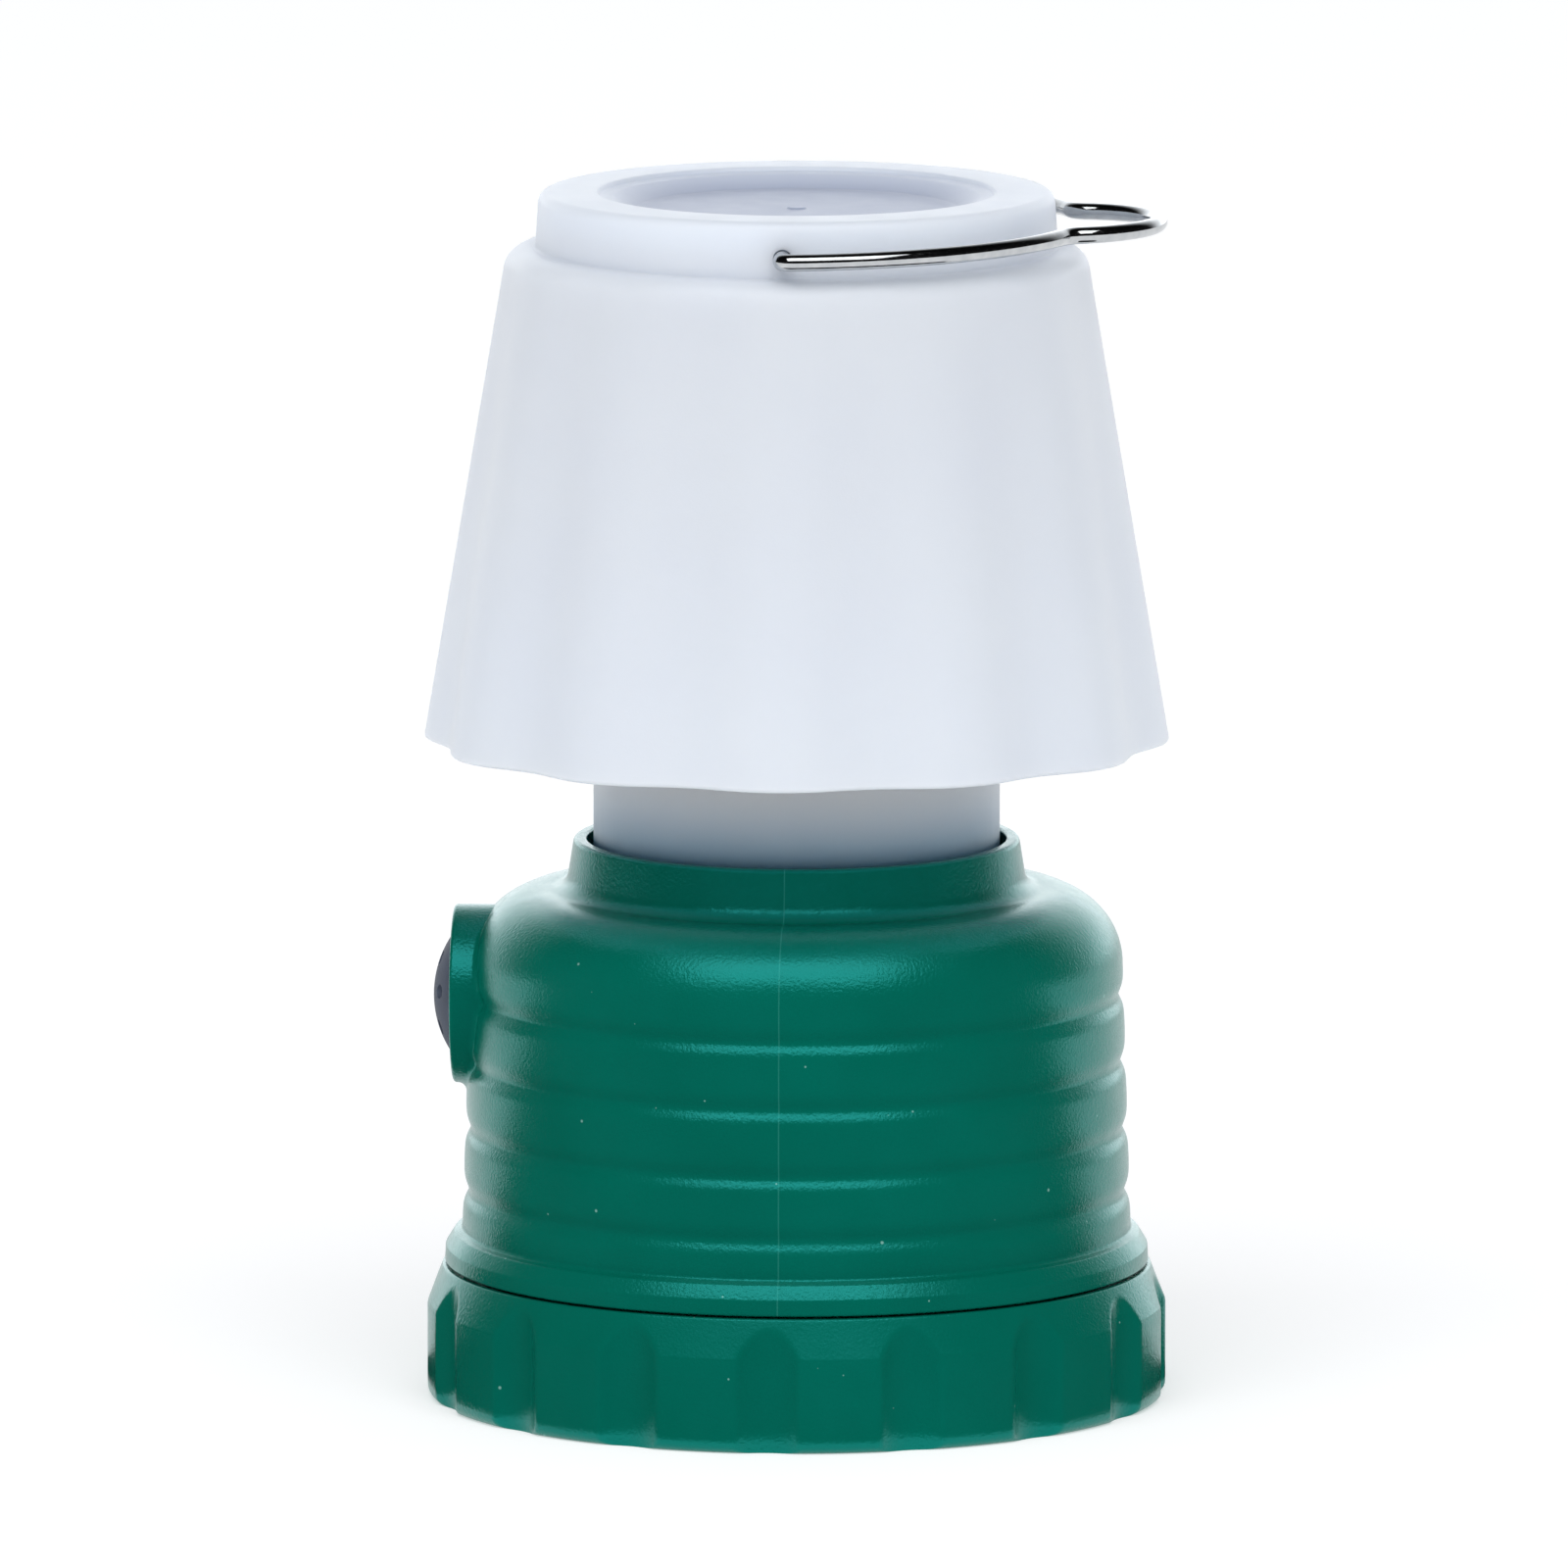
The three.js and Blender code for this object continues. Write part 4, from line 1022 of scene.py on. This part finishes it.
finishes = {
    "green_plastic": green_plastic(),
    "frosted_shade": frosted_shade(),
    "frosted_column": frosted_column(),
    "slate_rubber": slate_rubber(),
    "seal_rubber": moulded_plastic("seal_rubber", rgb(26, 26, 28), rgb(38, 38, 40), 0.7),
    "bail_wire": bail_wire(),
    "button_black": moulded_plastic("button_black", rgb(24, 25, 27), rgb(34, 35, 38), 0.5),
    "white_moulding": moulded_plastic(
        "white_moulding", rgb(226, 226, 222), rgb(238, 238, 235), 0.5),
    "black_moulding": moulded_plastic("black_moulding", rgb(26, 27, 29), rgb(38, 39, 42), 0.55),
    "nickel_contact": plated_metal("nickel_contact", rgb(170, 168, 160), rgb(196, 194, 187), 0.3),
    "screw_steel": plated_metal("screw_steel", rgb(148, 151, 154), rgb(178, 180, 183), 0.35),
    "board_green": circuit_board("board_green", rgb(24, 84, 50), rgb(40, 110, 66)),
    "board_white": circuit_board("board_white", rgb(232, 234, 232), rgb(220, 222, 220)),
    "led": led_phosphor(),
    "cell_can": cell_can(),
    "silvered": plated_metal("silvered", rgb(205, 208, 210), rgb(225, 227, 229), 0.14),
    "lead_red": moulded_plastic("lead_red", rgb(160, 28, 24), rgb(184, 38, 32), 0.5),
    "lead_black": moulded_plastic("lead_black", rgb(20, 20, 21), rgb(30, 30, 31), 0.5),
}

for subpart in frame["record"]["subparts"]:
    for holder in frame["nodes"][subpart["node"]].material_slots:
        holder.material = finishes[subpart["material_slot"]]

PIECES = (
    (base_cap, "green_plastic", "base_cap", "cap"),
    (housing, "green_plastic", "housing", "lamp_body"),
    (power_button, "slate_rubber", "power_button", "button"),
    (diffuser_tube, "frosted_column", "diffuser_tube", "lamp_body"),
    (shade, "frosted_shade", "shade", "lamp_body"),
    (bail, "bail_wire", "bail", "bail_handle"),
)
for make, slot, node, body in PIECES:
    piece = make(finishes[slot])
    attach(piece, body)
    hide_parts(node)


# ---------------------------------------------------------------------------
# Floor, light and camera
# ---------------------------------------------------------------------------


def floor():
    """A pale sheet lit softly from below, as a light table is."""
    s = Shader("studio_floor", Roughness=0.8, Specular_IOR_Level=0.0, Emission_Strength=0.45)
    cloud = s.noise(400, detail=2)
    s.link(s.mixed(cloud, rgb(226, 226, 227), rgb(229, 229, 230)), "Base Color")
    radius, thickness = 9000, 3
    profile = [(0, -thickness), (radius, -thickness), (radius, 0), (0, 0)]
    piece = mesh_object("floor", turned_rings(profile, even_angles(96)), s.material)


def black_flag():
    """A low dark card curved round the front, seen only in reflections.

    It keeps the green of the housing deep. It lies on the floor, turns up, and gets lower toward
    its two ends.
    """
    s = Shader("black_card", Roughness=0.9, Specular_IOR_Level=0.0)
    s.link(s.mixed(s.noise(300), rgb(4, 4, 4), rgb(10, 10, 10)), "Base Color")
    inner, outer, low, high = 41, 70, 1, 53
    half_sweep = math.radians(108)
    columns = 48
    taper = 3  # the card is lower over the last third of each side
    points = []
    for i in range(columns + 1):
        share = 2 * i / columns - 1
        angle = FRONT + share * half_sweep
        top = low + (high - low) * min(1, taper * (1 - abs(share)))
        for radius, level in ((inner, low), (outer, low), (outer, top)):
            x, y = radius * math.cos(angle), radius * math.sin(angle)
            points.append((x * MM, y * MM, level * MM))
    faces = [(3 * i + k, 3 * i + k + 1, 3 * i + k + 4, 3 * i + k + 3)
             for i in range(columns) for k in (0, 1)]
    mesh = bpy.data.meshes.new("black_flag")
    mesh.from_pydata(points, [], faces)
    mesh.materials.append(s.material)
    card = bpy.data.objects.new("black_flag", mesh)
    bpy.context.scene.collection.objects.link(card)
    card.visible_camera = False
    card.visible_diffuse = False
    card.visible_shadow = False
    card.visible_transmission = False


def softbox(name, place, target, size, watts):
    """A rectangular soft light in metres that faces a target."""
    lamp = bpy.data.lights.new(name, "AREA")
    lamp.shape = "RECTANGLE"
    lamp.size, lamp.size_y = size
    lamp.energy = watts
    holder = bpy.data.objects.new(name, lamp)
    holder.location = place
    holder.rotation_euler = (Vector(target) - Vector(place)).to_track_quat("-Z", "Y").to_euler()
    holder.visible_camera = False
    bpy.context.scene.collection.objects.link(holder)


def surround():
    """A studio with bright walls behind the object and dark ones in front of it.

    Reflections see those walls, which get dimmer toward the top. Scattered light comes evenly
    from all sides and less from overhead, as it does inside a light tent. The camera sees white.
    """
    world = bpy.data.worlds.new("studio")
    bpy.context.scene.world = world
    world.cycles.sampling_method = "NONE"
    world.use_nodes = True
    tree = world.node_tree
    background = tree.nodes["Background"]
    direction = tree.nodes.new("ShaderNodeTexCoord")
    axes = tree.nodes.new("ShaderNodeSeparateXYZ")
    path = tree.nodes.new("ShaderNodeLightPath")
    tree.links.new(direction.outputs["Generated"], axes.inputs[0])

    def ramp(axis, low, high, new_low, new_high, shape="LINEAR"):
        node = tree.nodes.new("ShaderNodeMapRange")
        node.interpolation_type = shape
        for socket, value in zip(("From Min", "From Max", "To Min", "To Max"),
                                 (low, high, new_low, new_high)):
            node.inputs[socket].default_value = value
        tree.links.new(axes.outputs[axis], node.inputs["Value"])
        return node.outputs["Result"]

    def chosen(ray, otherwise, value):
        node = tree.nodes.new("ShaderNodeMix")
        tree.links.new(path.outputs[ray], node.inputs["Factor"])
        tree.links.new(otherwise, node.inputs[2])
        if isinstance(value, bpy.types.NodeSocket):
            tree.links.new(value, node.inputs[3])
        else:
            node.inputs[3].default_value = value
        return node.outputs[0]

    walls = tree.nodes.new("ShaderNodeMath")
    walls.operation = "MULTIPLY"
    tree.links.new(ramp("Y", 0.42, 1.0, 0.01, 2.4, "SMOOTHSTEP"), walls.inputs[0])
    tree.links.new(ramp("Z", 0.15, 0.7, 1.0, 0.35), walls.inputs[1])
    tent = ramp("Z", -0.2, 1.0, 1.15, 0.15)
    backdrop = 1.05
    reflected = chosen("Is Diffuse Ray", walls.outputs[0], tent)
    seen = chosen("Is Camera Ray", reflected, backdrop)
    tree.links.new(seen, background.inputs["Strength"])
    background.inputs["Color"].default_value = (0.95, 0.975, 1, 1)


def camera():
    """A long lens, a little above the lantern and just right of its front."""
    distance, height = 2.636, 0.459
    aim_height, aim_left = 0.0664, 0.00136
    azimuth = math.radians(3.1)
    right = Vector((math.cos(azimuth), math.sin(azimuth), 0))
    lens = bpy.data.cameras.new("camera")
    lens.sensor_width = 36
    lens.lens = 567.8
    lens.clip_end = 50
    holder = bpy.data.objects.new("camera", lens)
    holder.location = (distance * math.sin(azimuth), -distance * math.cos(azimuth), height)
    target = Vector((0, 0, aim_height)) - right * aim_left
    holder.rotation_euler = (target - holder.location).to_track_quat("-Z", "Y").to_euler()
    bpy.context.scene.collection.objects.link(holder)
    bpy.context.scene.camera = holder


floor()
black_flag()
surround()
softbox("key", place=(0, -4.0, 5.7), target=(0, 0, 0.05), size=(8.5, 5.0), watts=300)
camera()
bpy.context.scene.view_settings.view_transform = "Standard"
